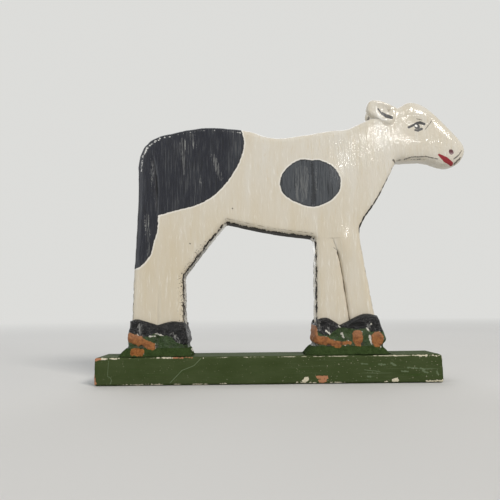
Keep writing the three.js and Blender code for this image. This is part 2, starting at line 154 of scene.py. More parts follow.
helpers = (add_node, calc, soft_step, blend, vector_calc, noise_node)
print("node helpers:", ", ".join(helper.__name__ for helper in helpers))

# %% [markdown]
# ## Colours
# A paint chart gives a colour as three numbers from 0 to 255, on a curve that suits the eye. Blender mixes
# light, which adds up in a straight line, so every colour is first taken off that curve. Keeping the
# chart's numbers in the script makes them easy to compare with a photograph.

# %% Colours
# The numbers of the sRGB standard: a straight line for the darkest tones, and a power above them.
CHART_TOP = 255
SRGB_TOE = 0.04045
SRGB_TOE_SLOPE = 12.92
SRGB_OFFSET = 0.055
SRGB_POWER = 2.4


def srgb(red, green, blue):
    """A colour as a painter's chart gives it, from 0 to 255, as the linear colour that Blender mixes."""
    linear = []
    for part in (red / CHART_TOP, green / CHART_TOP, blue / CHART_TOP):
        curved = ((part + SRGB_OFFSET) / (1 + SRGB_OFFSET)) ** SRGB_POWER
        linear.append(part / SRGB_TOE_SLOPE if part <= SRGB_TOE else curved)
    return (*linear, 1.0)


print("the middle grey of a chart, as Blender mixes it:", [round(part, 3) for part in srgb(128, 128, 128)])

# %% [markdown]
# ## Floor
# A plain pale floor keeps the object's shadow. A floor that ends would show its rim, and an endless one a
# horizon, so the far floor fades into the background. Only the camera, and what the paint mirrors, see that
# background. A Light Path node tells those rays from the rest.

# %% Floor
FLOOR_RADIUS = 6
FLOOR_SIDES = 64
FLOOR_DROP = 0.2 * MM
FLOOR_PALE = srgb(214, 212, 208)
FLOOR_DEEP = srgb(206, 204, 200)
FLOOR_NOISE = {"scale": 3.0, "detail": 2.0}
FLOOR_ROUGHNESS = 0.9
FLOOR_FADE = (0.5, 2.2)
BACKGROUND = (0.72, 0.72, 0.70, 1.0)


def sees_background(tree):
    """1 for a ray from the camera, or one that a gloss or a clear thing sends on, and 0 for light itself."""
    path = add_node(tree, "ShaderNodeLightPath").outputs
    sent_on = calc(tree, "MAXIMUM", path["Is Glossy Ray"], path["Is Transmission Ray"])
    return calc(tree, "MAXIMUM", path["Is Camera Ray"], sent_on)


floor_material = bpy.data.materials.new("pale_floor")
floor_material.use_nodes = True
floor_tree = floor_material.node_tree
floor_place = add_node(floor_tree, "ShaderNodeTexCoord").outputs["Object"]
floor_cloud = noise_node(floor_tree, floor_place, **FLOOR_NOISE)[0]
floor_shader = floor_tree.nodes["Principled BSDF"]
floor_colour = blend(floor_tree, floor_cloud, FLOOR_PALE, FLOOR_DEEP)
floor_tree.links.new(floor_colour, floor_shader.inputs["Base Color"])
floor_shader.inputs["Roughness"].default_value = FLOOR_ROUGHNESS
away = vector_calc(floor_tree, "LENGTH", floor_place, result=1)
faded = calc(floor_tree, "MULTIPLY", sees_background(floor_tree), soft_step(floor_tree, away, *FLOOR_FADE))
far_floor = add_node(floor_tree, "ShaderNodeEmission", {"Color": BACKGROUND, "Strength": 1.0}).outputs[0]
either = add_node(floor_tree, "ShaderNodeMixShader", {0: faded, 1: floor_shader.outputs[0], 2: far_floor})
floor_tree.links.new(either.outputs[0], floor_tree.nodes["Material Output"].inputs["Surface"])

floor_mesh = bpy.data.meshes.new("floor")
disc = bmesh.new()
bmesh.ops.create_circle(disc, cap_ends=True, segments=FLOOR_SIDES, radius=FLOOR_RADIUS)
bmesh.ops.translate(disc, verts=disc.verts, vec=(0, 0, -FLOOR_DROP))
disc.to_mesh(floor_mesh)
disc.free()
floor_mesh.materials.append(floor_material)
floor = bpy.data.objects.new("floor", floor_mesh)
scene.collection.objects.link(floor)
floor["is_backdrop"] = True
print("floor: a disc with a radius of", FLOOR_RADIUS, "m")

# %% [markdown]
# ## Lamps
# The paint is glossy, and a lamp shows in it as a patch of its own size. So most lamps are broad: a key
# from the upper right in front, a weak fill from the left, and one behind, for the far side. A very small
# lamp lower down in front puts a glint on the neck.

# %% Lamps
AIM = Vector((20, 0, 110)) * MM
LAMPS = {
    "key": {"place": (1.3, -1.75, 1.8), "width": 0.8, "power": 47, "colour": (1.0, 0.97, 0.93)},
    "sheen": {"place": (0.76, -1.87, 0.87), "width": 0.08, "power": 1.2, "colour": (1.0, 0.98, 0.96)},
    "fill": {"place": (-1.7, -1.3, 0.9), "width": 2.4, "power": 16, "colour": (0.92, 0.95, 1.0)},
    "rear": {"place": (-0.3, 1.5, 1.2), "width": 2.2, "power": 14, "colour": (0.95, 0.97, 1.0)},
}

for name, facts in LAMPS.items():
    lamp = bpy.data.lights.new(name, "AREA")
    lamp.size = facts["width"]
    lamp.energy = facts["power"]
    lamp.color = facts["colour"]
    holder = bpy.data.objects.new(name, lamp)
    holder.location = facts["place"]
    holder.rotation_mode = "QUATERNION"
    holder.rotation_quaternion = (AIM - Vector(facts["place"])).to_track_quat("-Z", "Y")
    scene.collection.objects.link(holder)
    print(f"{name} lamp: {facts['power']} W")

# %% [markdown]
# ## World
# The world lights what the lamps leave, evenly and a little cool, as a bright room does. It could also show
# a picture of a room, but a plain background keeps the eye on the figure.

# %% World
WORLD_LIGHT = (0.92, 0.96, 1.0, 1.0)
WORLD_STRENGTH = 0.34

world = bpy.data.worlds.new("studio")
world.use_nodes = True
scene.world = world
sky = world.node_tree
sky.nodes.clear()
lit = add_node(sky, "ShaderNodeBackground", {"Color": WORLD_LIGHT, "Strength": WORLD_STRENGTH})
shown = add_node(sky, "ShaderNodeBackground", {"Color": BACKGROUND, "Strength": 1.0})
either = add_node(sky, "ShaderNodeMixShader", {
    0: sees_background(sky), 1: lit.outputs[0], 2: shown.outputs[0]})
add_node(sky, "ShaderNodeOutputWorld", {"Surface": either.outputs[0]})
print("world strength:", WORLD_STRENGTH)

# %% [markdown]
# ## An even skin
# A CAD mesh has few, long triangles, which can't be carved. The voxel Remesh modifier wraps it in small
# even faces, and a Smooth modifier takes the steps off. Several nodes can be wrapped at once, which closes
# the glue lines between them, so that paint runs across a joint as it does on the real figure. The node's
# own mesh is never touched: a copy is merged first, because its triangles are loose.

# %% Skin helpers
MERGE_WITHIN = 0.01 * MM
SMOOTH_SHARE = 0.5
TOP_BAND = 1


def as_plain_mesh(mesh, modifiers, filled=None):
    """The mesh after modifiers, each a type and its options; filled gives a node modifier's inputs."""
    holder = bpy.data.objects.new("holder", mesh)
    scene.collection.objects.link(holder)
    for kind, options in modifiers:
        modifier = holder.modifiers.new(kind.lower(), kind)
        for option, value in options.items():
            setattr(modifier, option, value)
        for identifier, value in (filled or {}).items():
            modifier[identifier] = value
    shown_state = holder.evaluated_get(bpy.context.evaluated_depsgraph_get())
    result = bpy.data.meshes.new_from_object(shown_state)
    bpy.data.objects.remove(holder)
    bpy.data.meshes.remove(mesh)
    return result


def wrapped(mesh, voxel, rounds):
    """The mesh wrapped in even faces of about a voxel (mm), and smoothed for some rounds."""
    return as_plain_mesh(mesh, [("REMESH", {"mode": "VOXEL", "voxel_size": voxel * MM}),
                                ("SMOOTH", {"factor": SMOOTH_SHARE, "iterations": rounds})])


def skin(names, voxel, rounds, raised=None, added=()):
    """One even skin over CAD nodes and added meshes; raised says by how much (mm) to lift nodes' tops."""
    joined = bmesh.new()
    for part in added:
        joined.from_mesh(part)
    for name in names:
        before = set(joined.verts)
        joined.from_mesh(nodes[name].data)
        lift = (raised or {}).get(name, 0)
        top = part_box(name)[1].z - TOP_BAND * MM
        for vert in set(joined.verts) - before:
            if vert.co.z > top:
                vert.co.z += lift * MM
    bmesh.ops.remove_doubles(joined, verts=joined.verts, dist=MERGE_WITHIN)
    mesh = bpy.data.meshes.new("skin")
    joined.to_mesh(mesh)
    joined.free()
    return wrapped(mesh, voxel, rounds)


print("triangles in the CAD meshes:", sum(len(node.data.polygons) for node in nodes.values() if node.data))

# %% [markdown]
# ## Vertices as numbers
# Carving is arithmetic on vertices. A Python loop over them is slow, so they are fetched as one array,
# changed with NumPy and put back. What a material has to know about a vertex is kept on it as an attribute.
# A finished skin is shaded smooth, except at real creases.

# %% Vertex helpers
CREASE_ANGLE = math.radians(50)


def places_of(mesh):
    """Vertices as rows of x, y and z in millimetres."""
    flat = np.empty(len(mesh.vertices) * 3, np.float32)
    mesh.vertices.foreach_get("co", flat)
    return flat.reshape(-1, 3).astype(float) / MM


def normals_of(mesh):
    """Vertices' normals as rows of x, y and z."""
    flat = np.empty(len(mesh.vertices) * 3, np.float32)
    mesh.vertex_normals.foreach_get("vector", flat)
    return flat.reshape(-1, 3).astype(float)


def move_to(mesh, places):
    """Moves the vertices to places in millimetres."""
    mesh.vertices.foreach_set("co", (places * MM).astype(np.float32).ravel())
    mesh.update()


def note(mesh, name, values):
    """Keeps one value for each vertex, for a material to read."""
    mesh.attributes.new(name, "FLOAT", "POINT").data.foreach_set("value", values.astype(np.float32))


def finished(name, mesh):
    """The piece's object, smooth but for real creases, at the origin with its place in its mesh."""
    mesh.shade_smooth()
    mesh.set_sharp_from_angle(angle=CREASE_ANGLE)
    mesh.name = name
    piece = bpy.data.objects.new(name, mesh)
    scene.collection.objects.link(piece)
    triangles = sum(len(face.vertices) - 2 for face in mesh.polygons)
    print(f"{name}: {triangles} triangles")
    return piece


print("vertices in the plinth's CAD mesh:", len(places_of(nodes["plinth_board"].data)))

# %% [markdown]
# ## Noise and soft borders
# Hand work is never quite even, and nothing on it starts abruptly. So all the carving rests on two
# functions: smooth noise in cells of a chosen size, and a step that starts and ends gently. Each noise has
# a seed of its own, so that no two repeat each other, and the figure comes out the same every time.

# %% Noise and soft borders


def wander(places, cell, seed, size=1):
    """Smooth noise of about the size either way, with cells of the given sizes (mm) along x, y and z."""
    scaled = places / np.asarray(cell, float) + seed
    return size * np.array([noise.noise(p) for p in scaled.tolist()])


def ease(values, low, high):
    """0 at low and 1 at high, eased between them."""
    share = np.clip((values - low) / (high - low), 0, 1)
    return share * share * (3 - 2 * share)


print("a soft step, a quarter of the way along:", ease(0.25, 0, 1))

# %% [markdown]
# ## Relief
# Age follows shape: dirt settles in hollows, and the paint also darkens them as painted shade. Blender's own
# pointiness changes with a mesh's density, so the hollows are measured here instead: each point is compared
# with a smoothed copy of the surface, and hollows come out above zero.

# %% Relief
RELIEF_ROUNDS = 8


def relief_of(mesh):
    """How far (mm) each point lies below a smoothed copy of its surface."""
    places = places_of(mesh)
    ends = np.empty(len(mesh.edges) * 2, np.int32)
    mesh.edges.foreach_get("vertices", ends)
    first, second = ends.reshape(-1, 2).T
    count = np.bincount(ends, minlength=len(places))
    smoothed = places.copy()
    for _ in range(RELIEF_ROUNDS):
        around = [np.bincount(first, smoothed[second, axis], len(places))
                  + np.bincount(second, smoothed[first, axis], len(places)) for axis in range(3)]
        smoothed = np.stack(around, 1) / np.maximum(count, 1)[:, None]
    return ((smoothed - places) * normals_of(mesh)).sum(1)


print("rounds of smoothing behind the relief:", RELIEF_ROUNDS)

# %% [markdown]
# ## The sawn edge
# Paint breaks along rims. Rim is the distance, in side view, to the nearest point of the board's sawn edge,
# which a search tree finds quickly. Two more values say what that stretch of edge gets: the belly's
# underside, which faces down, is painted dark as shade, and the arrises that line the gap between the legs,
# the chest, the shin, the hock and the jaw are chipped.

# %% Sawn edge
EDGE_BAND = (2.9, 4.5)
EDGE_FACING = 0.45
UNDERSIDE = {"down": (-0.3, -0.7), "sideways": (0.6, 0.3)}
BELLY = (-75, 40)
LEAST_CHIPPED = 0.1
CHIPPED_FADE = 9
CHIPPED_EDGES = {
    "leg_gap": {"x": (-75, 40), "z": (25, 112), "sideways": 0.4, "share": 0.9},
    "chest": {"x": (56, 86), "z": (98, 150), "sideways": 0.4, "share": 1.2},
    "chest_foot": {"x": (50, 74), "z": (94, 126), "sideways": 0.4, "share": 1.5},
    "shin": {"x": (56, 80), "z": (34, 98), "sideways": 0.4, "share": 0.65},
    "hock": {"x": (-115, -80), "z": (30, 75), "sideways": 0.4, "share": 0.6},
    "jaw": {"x": (86, 140), "z": (130, 165), "sideways": 0, "share": 0.6},
}


def sawn_edge(mesh):
    """The sawn edge in side view: a search tree of its points, how much painted shade and how much chipping
    each has.
    """
    places, normals = places_of(mesh), normals_of(mesh)
    across = np.abs(places[:, 1])
    in_band = (across > EDGE_BAND[0]) & (across < EDGE_BAND[1])
    on_edge = in_band & (np.abs(normals[:, 1]) < EDGE_FACING)
    points = places[on_edge]
    tree = kdtree.KDTree(len(points))
    for index, (x, _, z) in enumerate(points.tolist()):
        tree.insert((x, 0, z), index)
    tree.balance()
    x, _, z = points.T
    facing_x, _, facing_z = normals[on_edge].T
    # Under the belly, the downward-facing edge is marked for painted shade.
    bare = ease(facing_z, *UNDERSIDE["down"]) * ease(np.abs(facing_x), *UNDERSIDE["sideways"])
    bare *= (x > BELLY[0]) & (x < BELLY[1])
    chipped = np.full(len(points), LEAST_CHIPPED)
    for stretch in CHIPPED_EDGES.values():
        (from_x, to_x), (from_z, to_z) = stretch["x"], stretch["z"]
        inside = (x > from_x) & (x < to_x) & (np.abs(facing_x) >= stretch["sideways"])
        inside = inside * ease(z, from_z, from_z + CHIPPED_FADE) * ease(z, to_z, to_z - CHIPPED_FADE)
        chipped = np.maximum(chipped, stretch["share"] * inside)
    return tree, bare, chipped


def rim_of(places, edge):
    """Distance (mm) of each place from the sawn edge in side view, and the edge's painted shade and chipping.
    """
    tree, bare, chipped = edge
    found = [tree.find((x, 0, z)) for x, _, z in places.tolist()]
    nearest = [index for _, index, _ in found]
    return np.array([gap for _, _, gap in found]), bare[nearest], chipped[nearest]


print("stretches of chipped edge:", ", ".join(CHIPPED_EDGES))

# %% [markdown]
# ## Carving the board
# On the real figure a knife left shallow facets along the rims, and the head was pared to a softer, rounder
# section than the body, with swellings at the brow, cheek, muzzle and shoulder and a dent for the nostril.
# Each of these is a small shift of the skin's points: noise for the knife, smooth swellings for the forms,
# and nicks where an arris is chipped. Upright grain also stands slightly proud under the paint, which
# breaks up its sheen.

# %% Carving
PARING = {"cell": (7, 9, 7), "seed": 3, "size": 0.28}
GRAIN = {"cell": (3.2, 9, 60), "seed": 11, "size": 0.05}
SWELL = {"cell": (26, 30, 34), "seed": 23, "size": 0.22}
FLAT_FACING = (0.5, 0.95)
BODY_ROUNDING = {"width": 7, "share": 0.05}
HEAD_ROUNDING = {"width": 8, "share": 0.26}
HEAD_START = (80, 96)
HEAD_FLOOR = (138, 150)
NICKS = {"cell": (2.4, 6, 2.8), "seed": 5}
NICK_DEPTH = 1.1
NICK_REACH = 2.4
NICK_MOST = 0.8
NICK_ARRIS = (2.5, 5)
FORMS = {
    "brow": {"middle": (109, 183), "half": (8, 4.5), "out": 0.9},
    "cheek": {"middle": (118, 163), "half": (20, 12), "out": 0.9},
    "muzzle": {"middle": (131, 155), "half": (9, 9), "out": 0.5},
    "nostril": {"middle": (130.3, 156.2), "half": (1.7, 1.7), "out": -0.7},
    "shoulder": {"middle": (52.5, 92), "half": (6, 11), "out": 1.9},
    "shoulder_blade": {"middle": (44, 132), "half": (14, 24), "out": 1.1},
}


def carve(mesh, edge):
    """Pares and nicks the rims, rounds the head and raises the grain of a skin made over the board."""
    places, normals = places_of(mesh), normals_of(mesh)
    x, y, z = places.T
    rim, _, chipped = rim_of(places, edge)
    flat_face = ease(np.abs(normals[:, 1]), *FLAT_FACING)
    out = wander(places, **PARING) * (1 - flat_face)
    out += (wander(places, **GRAIN) + wander(places, **SWELL)) * flat_face
    by_arris = ease(rim, NICK_REACH, 0) * ease(np.abs(y), *NICK_ARRIS)
    nicks = np.clip(wander(places, **NICKS), 0, 1) * by_arris
    out -= NICK_DEPTH * np.minimum(chipped, NICK_MOST) * nicks
    places += normals * out[:, None]
    on_head = ease(x, *HEAD_START) * ease(z, *HEAD_FLOOR)
    for rounding, where in ((BODY_ROUNDING, 1 - on_head), (HEAD_ROUNDING, on_head)):
        inward = np.clip(1 - rim / rounding["width"], 0, 1) ** 2
        places[:, 1] *= 1 - rounding["share"] * inward * where
    for form in FORMS.values():
        across = (x - form["middle"][0]) / form["half"][0]
        up = (z - form["middle"][1]) / form["half"][1]
        places[:, 1] += np.sign(y) * flat_face * form["out"] * np.exp(-across ** 2 - up ** 2)
    move_to(mesh, places)


print("forms raised or sunk:", ", ".join(FORMS))

# %% [markdown]
# ## Where the charcoal goes
# Two dark patches are brushed over the cream: one covers the rump and runs down the tail, the other is an
# oval on the ribs. Each is drawn in side view, in millimetres from the plinth's middle and underside. A
# drawing program would give hundreds of points. Here a smooth curve runs through a few.

# %% Patch outlines
CURVE_STEPS = 6
RUMP_EDGE = [(-17, 176), (-15, 167), (-14.6, 161), (-17.4, 151), (-21, 143.6), (-26, 136), (-31.5, 130),
             (-37, 125), (-47, 119.7), (-59, 116.6), (-73.4, 112.7)]
TAIL_EDGE = [(-73.8, 112.3), (-74.2, 102), (-76.3, 95), (-78.3, 86.5), (-80.6, 82.8), (-85.6, 77.4),
             (-95, 75)]
BEHIND_TAIL = [(-120, 75), (-120, 200), (-17, 200)]
RIB_OVAL = [(10, 134), (11.3, 140), (14.5, 144.5), (19, 148.3), (24.5, 150.8), (32, 150.3), (38, 149.9),
            (44, 147.2), (48.8, 143), (51.4, 137), (51.3, 131), (48.5, 125.5), (43.5, 121.2), (37, 118.3),
            (30, 117.5), (22, 120.3), (15, 124.2), (11, 129)]


def drawn(points, closed):
    """A smooth line through the points: between two of them, a cubic that heads from the last to the next."""
    knots = np.asarray(points, float)
    if closed:
        knots = np.vstack([knots[-1:], knots, knots[:2]])
    else:
        knots = np.vstack([2 * knots[0] - knots[1], knots, 2 * knots[-1] - knots[-2]])
    line = []
    for a, b, c, d in zip(knots, knots[1:], knots[2:], knots[3:]):
        for t in np.arange(CURVE_STEPS) / CURVE_STEPS:
            bend = 2 * a - 5 * b + 4 * c - d + t * (3 * (b - c) + d - a)
            line.append(b + 0.5 * t * (c - a + t * bend))
    if not closed:
        line.append(knots[-2])
    return np.array(line)


rump_outline = np.vstack([drawn(RUMP_EDGE, False), drawn(TAIL_EDGE, False), BEHIND_TAIL])
oval_outline = drawn(RIB_OVAL, True)
print("points on the outlines of rump and oval:", len(rump_outline), "and", len(oval_outline))

# %% [markdown]
# ## Distance to a patch
# The skin's vertices are three quarters of a millimetre apart, too far for a sharp border. But the distance
# to the border changes evenly, so it can be kept on them, and the material draws the border where the
# distance is zero, wobbling it as a brush would. It is below zero inside. On the far side, which the
# photograph doesn't show, the oval lies a few millimetres elsewhere, as if it was drawn a second time by
# hand.

# %% Distance to a patch
FAR_OVAL_SHIFT = (-5, 2)


def from_line(points, start, end):
    """Distance of points from the straight line between start and end."""
    along = np.subtract(end, start)
    share = np.clip((points - start) @ along / (along @ along), 0, 1)
    gap = points - start - share[:, None] * along
    return np.hypot(*gap.T)


def distance_to(points, outline):
    """Signed distance of points from a closed outline, below zero inside it."""
    nearest = np.full(len(points), np.inf)
    inside = np.zeros(len(points), bool)
    for start, end in zip(outline, np.roll(outline, -1, 0)):
        nearest = np.minimum(nearest, from_line(points, start, end))
        if start[1] != end[1]:
            slope = (end[0] - start[0]) * (points[:, 1] - start[1]) / (end[1] - start[1])
            reach = start[0] + slope
            inside ^= ((start[1] > points[:, 1]) != (end[1] > points[:, 1])) & (points[:, 0] < reach)
    return np.where(inside, -nearest, nearest)


def charcoal_of(places):
    """Signed distance (mm) to the nearest charcoal patch; the far side's oval lies a little elsewhere."""
    side_view = places[:, [0, 2]]
    far = (places[:, 1] > 0)[:, None]
    oval = distance_to(np.where(far, side_view - FAR_OVAL_SHIFT, side_view), oval_outline)
    return np.minimum(distance_to(side_view, rump_outline), oval)


oval_middle = np.mean(RIB_OVAL, 0)[None]
print("the oval's middle is", round(-distance_to(oval_middle, oval_outline)[0], 1), "mm inside its border")

# %% [markdown]
# ## Ears
# Each ear is a leaf of wood let into the side of the poll, with a gouged cup that opens toward the head.
# Thick paint hides its glue line, so the trunk's skin is made over the ears as well, and each ear is a thin
# shell just outside it. Toward its root the shell sinks below the trunk's skin, so no line shows there.

# %% Ears
EAR_VOXEL = 0.4
EAR_SMOOTHING = 6
EAR_FILL = 0.3
EAR_GROWTH = 0.35
EAR_PARING = {"cell": (5, 5, 5), "seed": 31, "size": 0.12}
EAR_RIM = 6
EAR_SINKS = {"from": 83, "to": 89, "depth": 1.4}
EAR_NODES = ["right_ear", "left_ear"]


def grown_ear(node, growth):
    """The skin of one ear, grown outward (mm)."""
    mesh = skin([node], EAR_VOXEL, EAR_SMOOTHING)
    move_to(mesh, places_of(mesh) + normals_of(mesh) * growth)
    return mesh


def ear_piece(name, node):
    """The shell of one ear, pared a little and sunk at its root."""
    mesh = grown_ear(node, EAR_GROWTH)
    places = places_of(mesh)
    places += normals_of(mesh) * wander(places, **EAR_PARING)[:, None]
    sink = EAR_SINKS["depth"] * ease(places[:, 0], EAR_SINKS["from"], EAR_SINKS["to"])
    places[:, 1] -= np.sign(places[:, 1]) * sink
    move_to(mesh, places)
    note(mesh, "relief", relief_of(mesh))
    note(mesh, "rim", np.full(len(places), EAR_RIM))
    for kind in ("shaded_underside", "chipped"):
        note(mesh, kind, np.zeros(len(places)))
    note(mesh, "charcoal", charcoal_of(places))
    return finished(name, mesh)


right_ear = ear_piece("right_ear_leaf", "right_ear")
left_ear = ear_piece("left_ear_leaf", "left_ear")

# %% [markdown]
# ## Parting the board
# The fore legs are butted under the trunk. Trunk and legs are wrapped together, so that the skin runs over
# the joint, and are then cut apart in a flat plane: the cut stays sharp, and only a hairline shows. The
# legs part along a slanting seam. At its top the seam is full of paint, so there the two legs are brought
# together.

# %% Parting helpers
HAIRLINE = 0.02
LEG_CLEARANCE = 4
SEAM_SHUT = {"by": 0.9, "rise": (85, 89), "depth": (3, 0)}
leg_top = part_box("fore_leg_rear")[1].z / MM
leg_rear_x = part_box("fore_leg_rear")[0].x / MM


def cut_at_joint(mesh, height, keep_above):
    """Cuts the fore legs off at the height (mm) and closes the cut, keeping what is above or below it."""
    body = bmesh.new()
    body.from_mesh(mesh)
    start = (leg_rear_x - LEG_CLEARANCE) * MM
    by_legs = [face for face in body.faces if face.calc_center_median().x > start]
    # A dict keeps the order of its keys and a set doesn't, so the mesh comes out the same in every run.
    parts = by_legs + list(dict.fromkeys(edge for face in by_legs for edge in face.edges))
    parts += list(dict.fromkeys(vert for face in by_legs for vert in face.verts))
    cut = bmesh.ops.bisect_plane(
        body, geom=parts, dist=0, plane_co=(0, 0, height * MM), plane_no=(0, 0, 1),
        clear_outer=not keep_above, clear_inner=keep_above)
    loops = [item for item in cut["geom_cut"] if isinstance(item, bmesh.types.BMEdge)]
    if not keep_above:
        rest = [v for v in body.verts if v.co.x < start or v.co.z > (height + HAIRLINE) * MM]
        bmesh.ops.delete(body, geom=rest, context="VERTS")
    bmesh.ops.triangle_fill(body, edges=[edge for edge in loops if edge.is_valid], use_beauty=True)
    bmesh.ops.recalc_face_normals(body, faces=body.faces)
    body.to_mesh(mesh)
    body.free()


def closed_at_top(mesh, toward):
    """Shuts the upper end of a leg's seam by moving it toward the other leg, which lies toward +x or -x."""
    places = places_of(mesh)
    level = np.round(places[:, 2]).astype(int)
    reach = {height: (toward * places[level == height, 0]).max() for height in np.unique(level).tolist()}
    behind = np.array([reach[height] for height in level.tolist()]) - toward * places[:, 0]
    shift = SEAM_SHUT["by"] * ease(places[:, 2], *SEAM_SHUT["rise"]) * ease(behind, *SEAM_SHUT["depth"])
    places[:, 0] += toward * shift
    move_to(mesh, places)


print("joint height in mm:", round(leg_top, 2))

# %% [markdown]
# ## Trunk and fore legs
# Each piece of the board is made in the same way: it is wrapped with its neighbours, carved, cut free of
# them and measured. The trunk is wrapped with both legs, and each leg without the other, so that the seam
# between them stays open.

# %% Trunk and fore legs
BOARD_VOXEL = 0.75
BOARD_SMOOTHING = 3
LEG_NAMES = ["fore_leg_rear", "fore_leg_front"]
BRIDGE = 0.6


def board_piece(name, covered, height, keep_above, toward=0):
    """A piece of the board: covered with its neighbours, carved, cut free and measured."""
    mesh = skin(covered, BOARD_VOXEL, BOARD_SMOOTHING, {leg: BRIDGE for leg in LEG_NAMES}, ear_fillings)
    edge = sawn_edge(mesh)
    carve(mesh, edge)
    note(mesh, "relief", relief_of(mesh))
    cut_at_joint(mesh, height, keep_above)
    if toward:
        closed_at_top(mesh, toward)
    places = places_of(mesh)
    for kind, values in zip(("rim", "shaded_underside", "chipped"), rim_of(places, edge)):
        note(mesh, kind, values)
    note(mesh, "charcoal", charcoal_of(places))
    return finished(name, mesh)


ear_fillings = [grown_ear(node, EAR_FILL) for node in EAR_NODES]
trunk = board_piece("calf_trunk", ["cow_board", *LEG_NAMES], leg_top + HAIRLINE, True)
rear_leg = board_piece("rear_fore_leg", ["cow_board", "fore_leg_rear"], leg_top, False, 1)
front_leg = board_piece("front_fore_leg", ["cow_board", "fore_leg_front"], leg_top, False, -1)
for filling in ear_fillings:
    bpy.data.meshes.remove(filling)

# %% [markdown]
# ## Bare composition
# The feet are bedded in a composition that has been painted: black for the hooves, green for the ground.
# Where the paint has broken away, the orange-brown composition shows as rough knobs. The bare places are
# drawn in side view as rounded strokes, and the black's lower border as a line. Two attributes will carry
# the drawing: how far a point is from bare composition, and how far below the black.

# %% Bare composition
FRAY = {"cell": (1.8, 30, 1.8), "seed": 41, "size": 0.6}
BLACK_EDGE = {
    "hind": [(-95, 34), (-87.4, 32.5), (-84, 30.5), (-78, 31.3), (-75, 33), (-69, 31.8), (-63.8, 31),
             (-60.6, 27.5), (-55.4, 25.4), (-48, 26)],
    "fore": [(24, 38), (29.3, 37), (32, 33.6), (36, 31), (40.2, 30.4), (42.4, 32.7), (47.5, 35.9), (54, 35),
             (59, 34.3), (64.7, 35), (68, 32.6), (74, 33), (80, 32)],
}
BARE_STROKES = [
    ((-91, 30.5), (-84.5, 28.4), 3.2), ((-84.5, 28.4), (-76, 25), 2.2), ((-88.5, 22.4), (-83, 22.3), 1.8),
    ((29.6, 36), (31, 31), 1.6), ((28.5, 28.3), (38, 27.3), 2.7), ((38, 27.3), (46.4, 25), 1.9),
    ((49.5, 25.6), (54, 25.8), 1.1), ((58.9, 31.0), (58.9, 27.0), 3.2), ((72.2, 28.4), (72.2, 27.4), 4.3),
]


def bare_of(places):
    """Distance (mm) from the nearest patch of bare composition, below zero inside it."""
    side_view = places[:, [0, 2]]
    nearest = np.full(len(places), np.inf)
    for start, end, radius in BARE_STROKES:
        nearest = np.minimum(nearest, from_line(side_view, start, end) - radius)
    return nearest + wander(places, **FRAY)


print("strokes of bare composition:", len(BARE_STROKES))

# %% [markdown]
# ## A foot as one mass
# The composition was pressed on as one mass, so a mound and its two hooves are wrapped together. Growing
# them first and shrinking them afterwards fills the grooves between them. Noise makes lumps, and the bare
# places swell out a little. The rounded underside is pressed flat, so that the mound spreads where it meets
# the plinth.

# %% Modelled foot
FOOT_VOXEL = 0.45
FIRST_SMOOTHING = 1
FOOT_SMOOTHING = 3
FOOT_GROWTH = 1.3
FOOT_SHRINK = 1.0
LUMPS = {"cell": (5, 5, 5), "seed": 53, "size": 1.1}
ROUGHNESS = {"cell": (1.5, 1.5, 1.5), "seed": 61, "size": 0.2}
KNOB_HEIGHT = 0.6
KNOB_BORDER = (0.4, -1.6)
SIDEWAYS = (0.95, 0.6)
FLANGE = {"sunk": 1.6, "height": 5}


def modelled_foot(names, pair):
    """A mound and its hooves as one lumpy mass, with knobs where its paint is gone."""
    joined = bmesh.new()
    for name in names:
        part = skin([name], FOOT_VOXEL, FIRST_SMOOTHING)
        move_to(part, places_of(part) + normals_of(part) * FOOT_GROWTH)
        joined.from_mesh(part)
        bpy.data.meshes.remove(part)
    mesh = bpy.data.meshes.new("foot")
    joined.to_mesh(mesh)
    joined.free()
    mesh = wrapped(mesh, FOOT_VOXEL, FOOT_SMOOTHING)
    places, normals = places_of(mesh), normals_of(mesh)
    bare = bare_of(places)
    knob = ease(bare, *KNOB_BORDER)
    out = wander(places, **LUMPS) * (1 - knob)
    out += knob * (KNOB_HEIGHT + wander(places, **ROUGHNESS))
    sideways = ease(np.abs(normals[:, 2]), *SIDEWAYS)
    places += normals * (out * sideways - FOOT_SHRINK)[:, None]
    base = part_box(names[0])[0].z / MM
    rise = places[:, 2] - base
    stretch = FLANGE["height"] / (FLANGE["height"] - FLANGE["sunk"])
    spread = base + np.clip(rise - FLANGE["sunk"], 0, None) * stretch
    places[:, 2] = np.where(rise < FLANGE["height"], spread, places[:, 2])
    move_to(mesh, places)
    note(mesh, "relief", relief_of(mesh))
    note(mesh, "bare", bare)
    note(mesh, "black", np.interp(places[:, 0], *np.transpose(BLACK_EDGE[pair])) - places[:, 2])
    return mesh


print("a foot keeps", round(FOOT_GROWTH - FOOT_SHRINK, 1), "mm of its growth")

# %% [markdown]
# ## Hooves and mounds
# The mass is now cut flat into its three pieces, a hairline apart, so that no gap shows. Cutting a finished
# mass lets its lumps run on from piece to piece, which pieces modelled one by one would not do. The ground
# takes no black, so all of it is noted as lying well below the black.

# %% Hooves and mounds
FOOT_HAIRLINE = 0.05
NO_BLACK = 9.0


def cut_from(mesh, cuts):
    """A copy of the mesh, cut by planes and closed; a plane is a place (mm) and the way to what is kept."""
    body = bmesh.new()
    body.from_mesh(mesh)
    for at, toward in cuts:
        parts = body.verts[:] + body.edges[:] + body.faces[:]
        cut = bmesh.ops.bisect_plane(
            body, geom=parts, dist=0, plane_co=Vector(at) * MM, plane_no=toward, clear_inner=True)
        loops = [item for item in cut["geom_cut"] if isinstance(item, bmesh.types.BMEdge)]
        bmesh.ops.triangle_fill(body, edges=loops, use_beauty=True)
    bmesh.ops.recalc_face_normals(body, faces=body.faces)
    piece = bpy.data.meshes.new("cut")
    body.to_mesh(piece)
    body.free()
    return piece


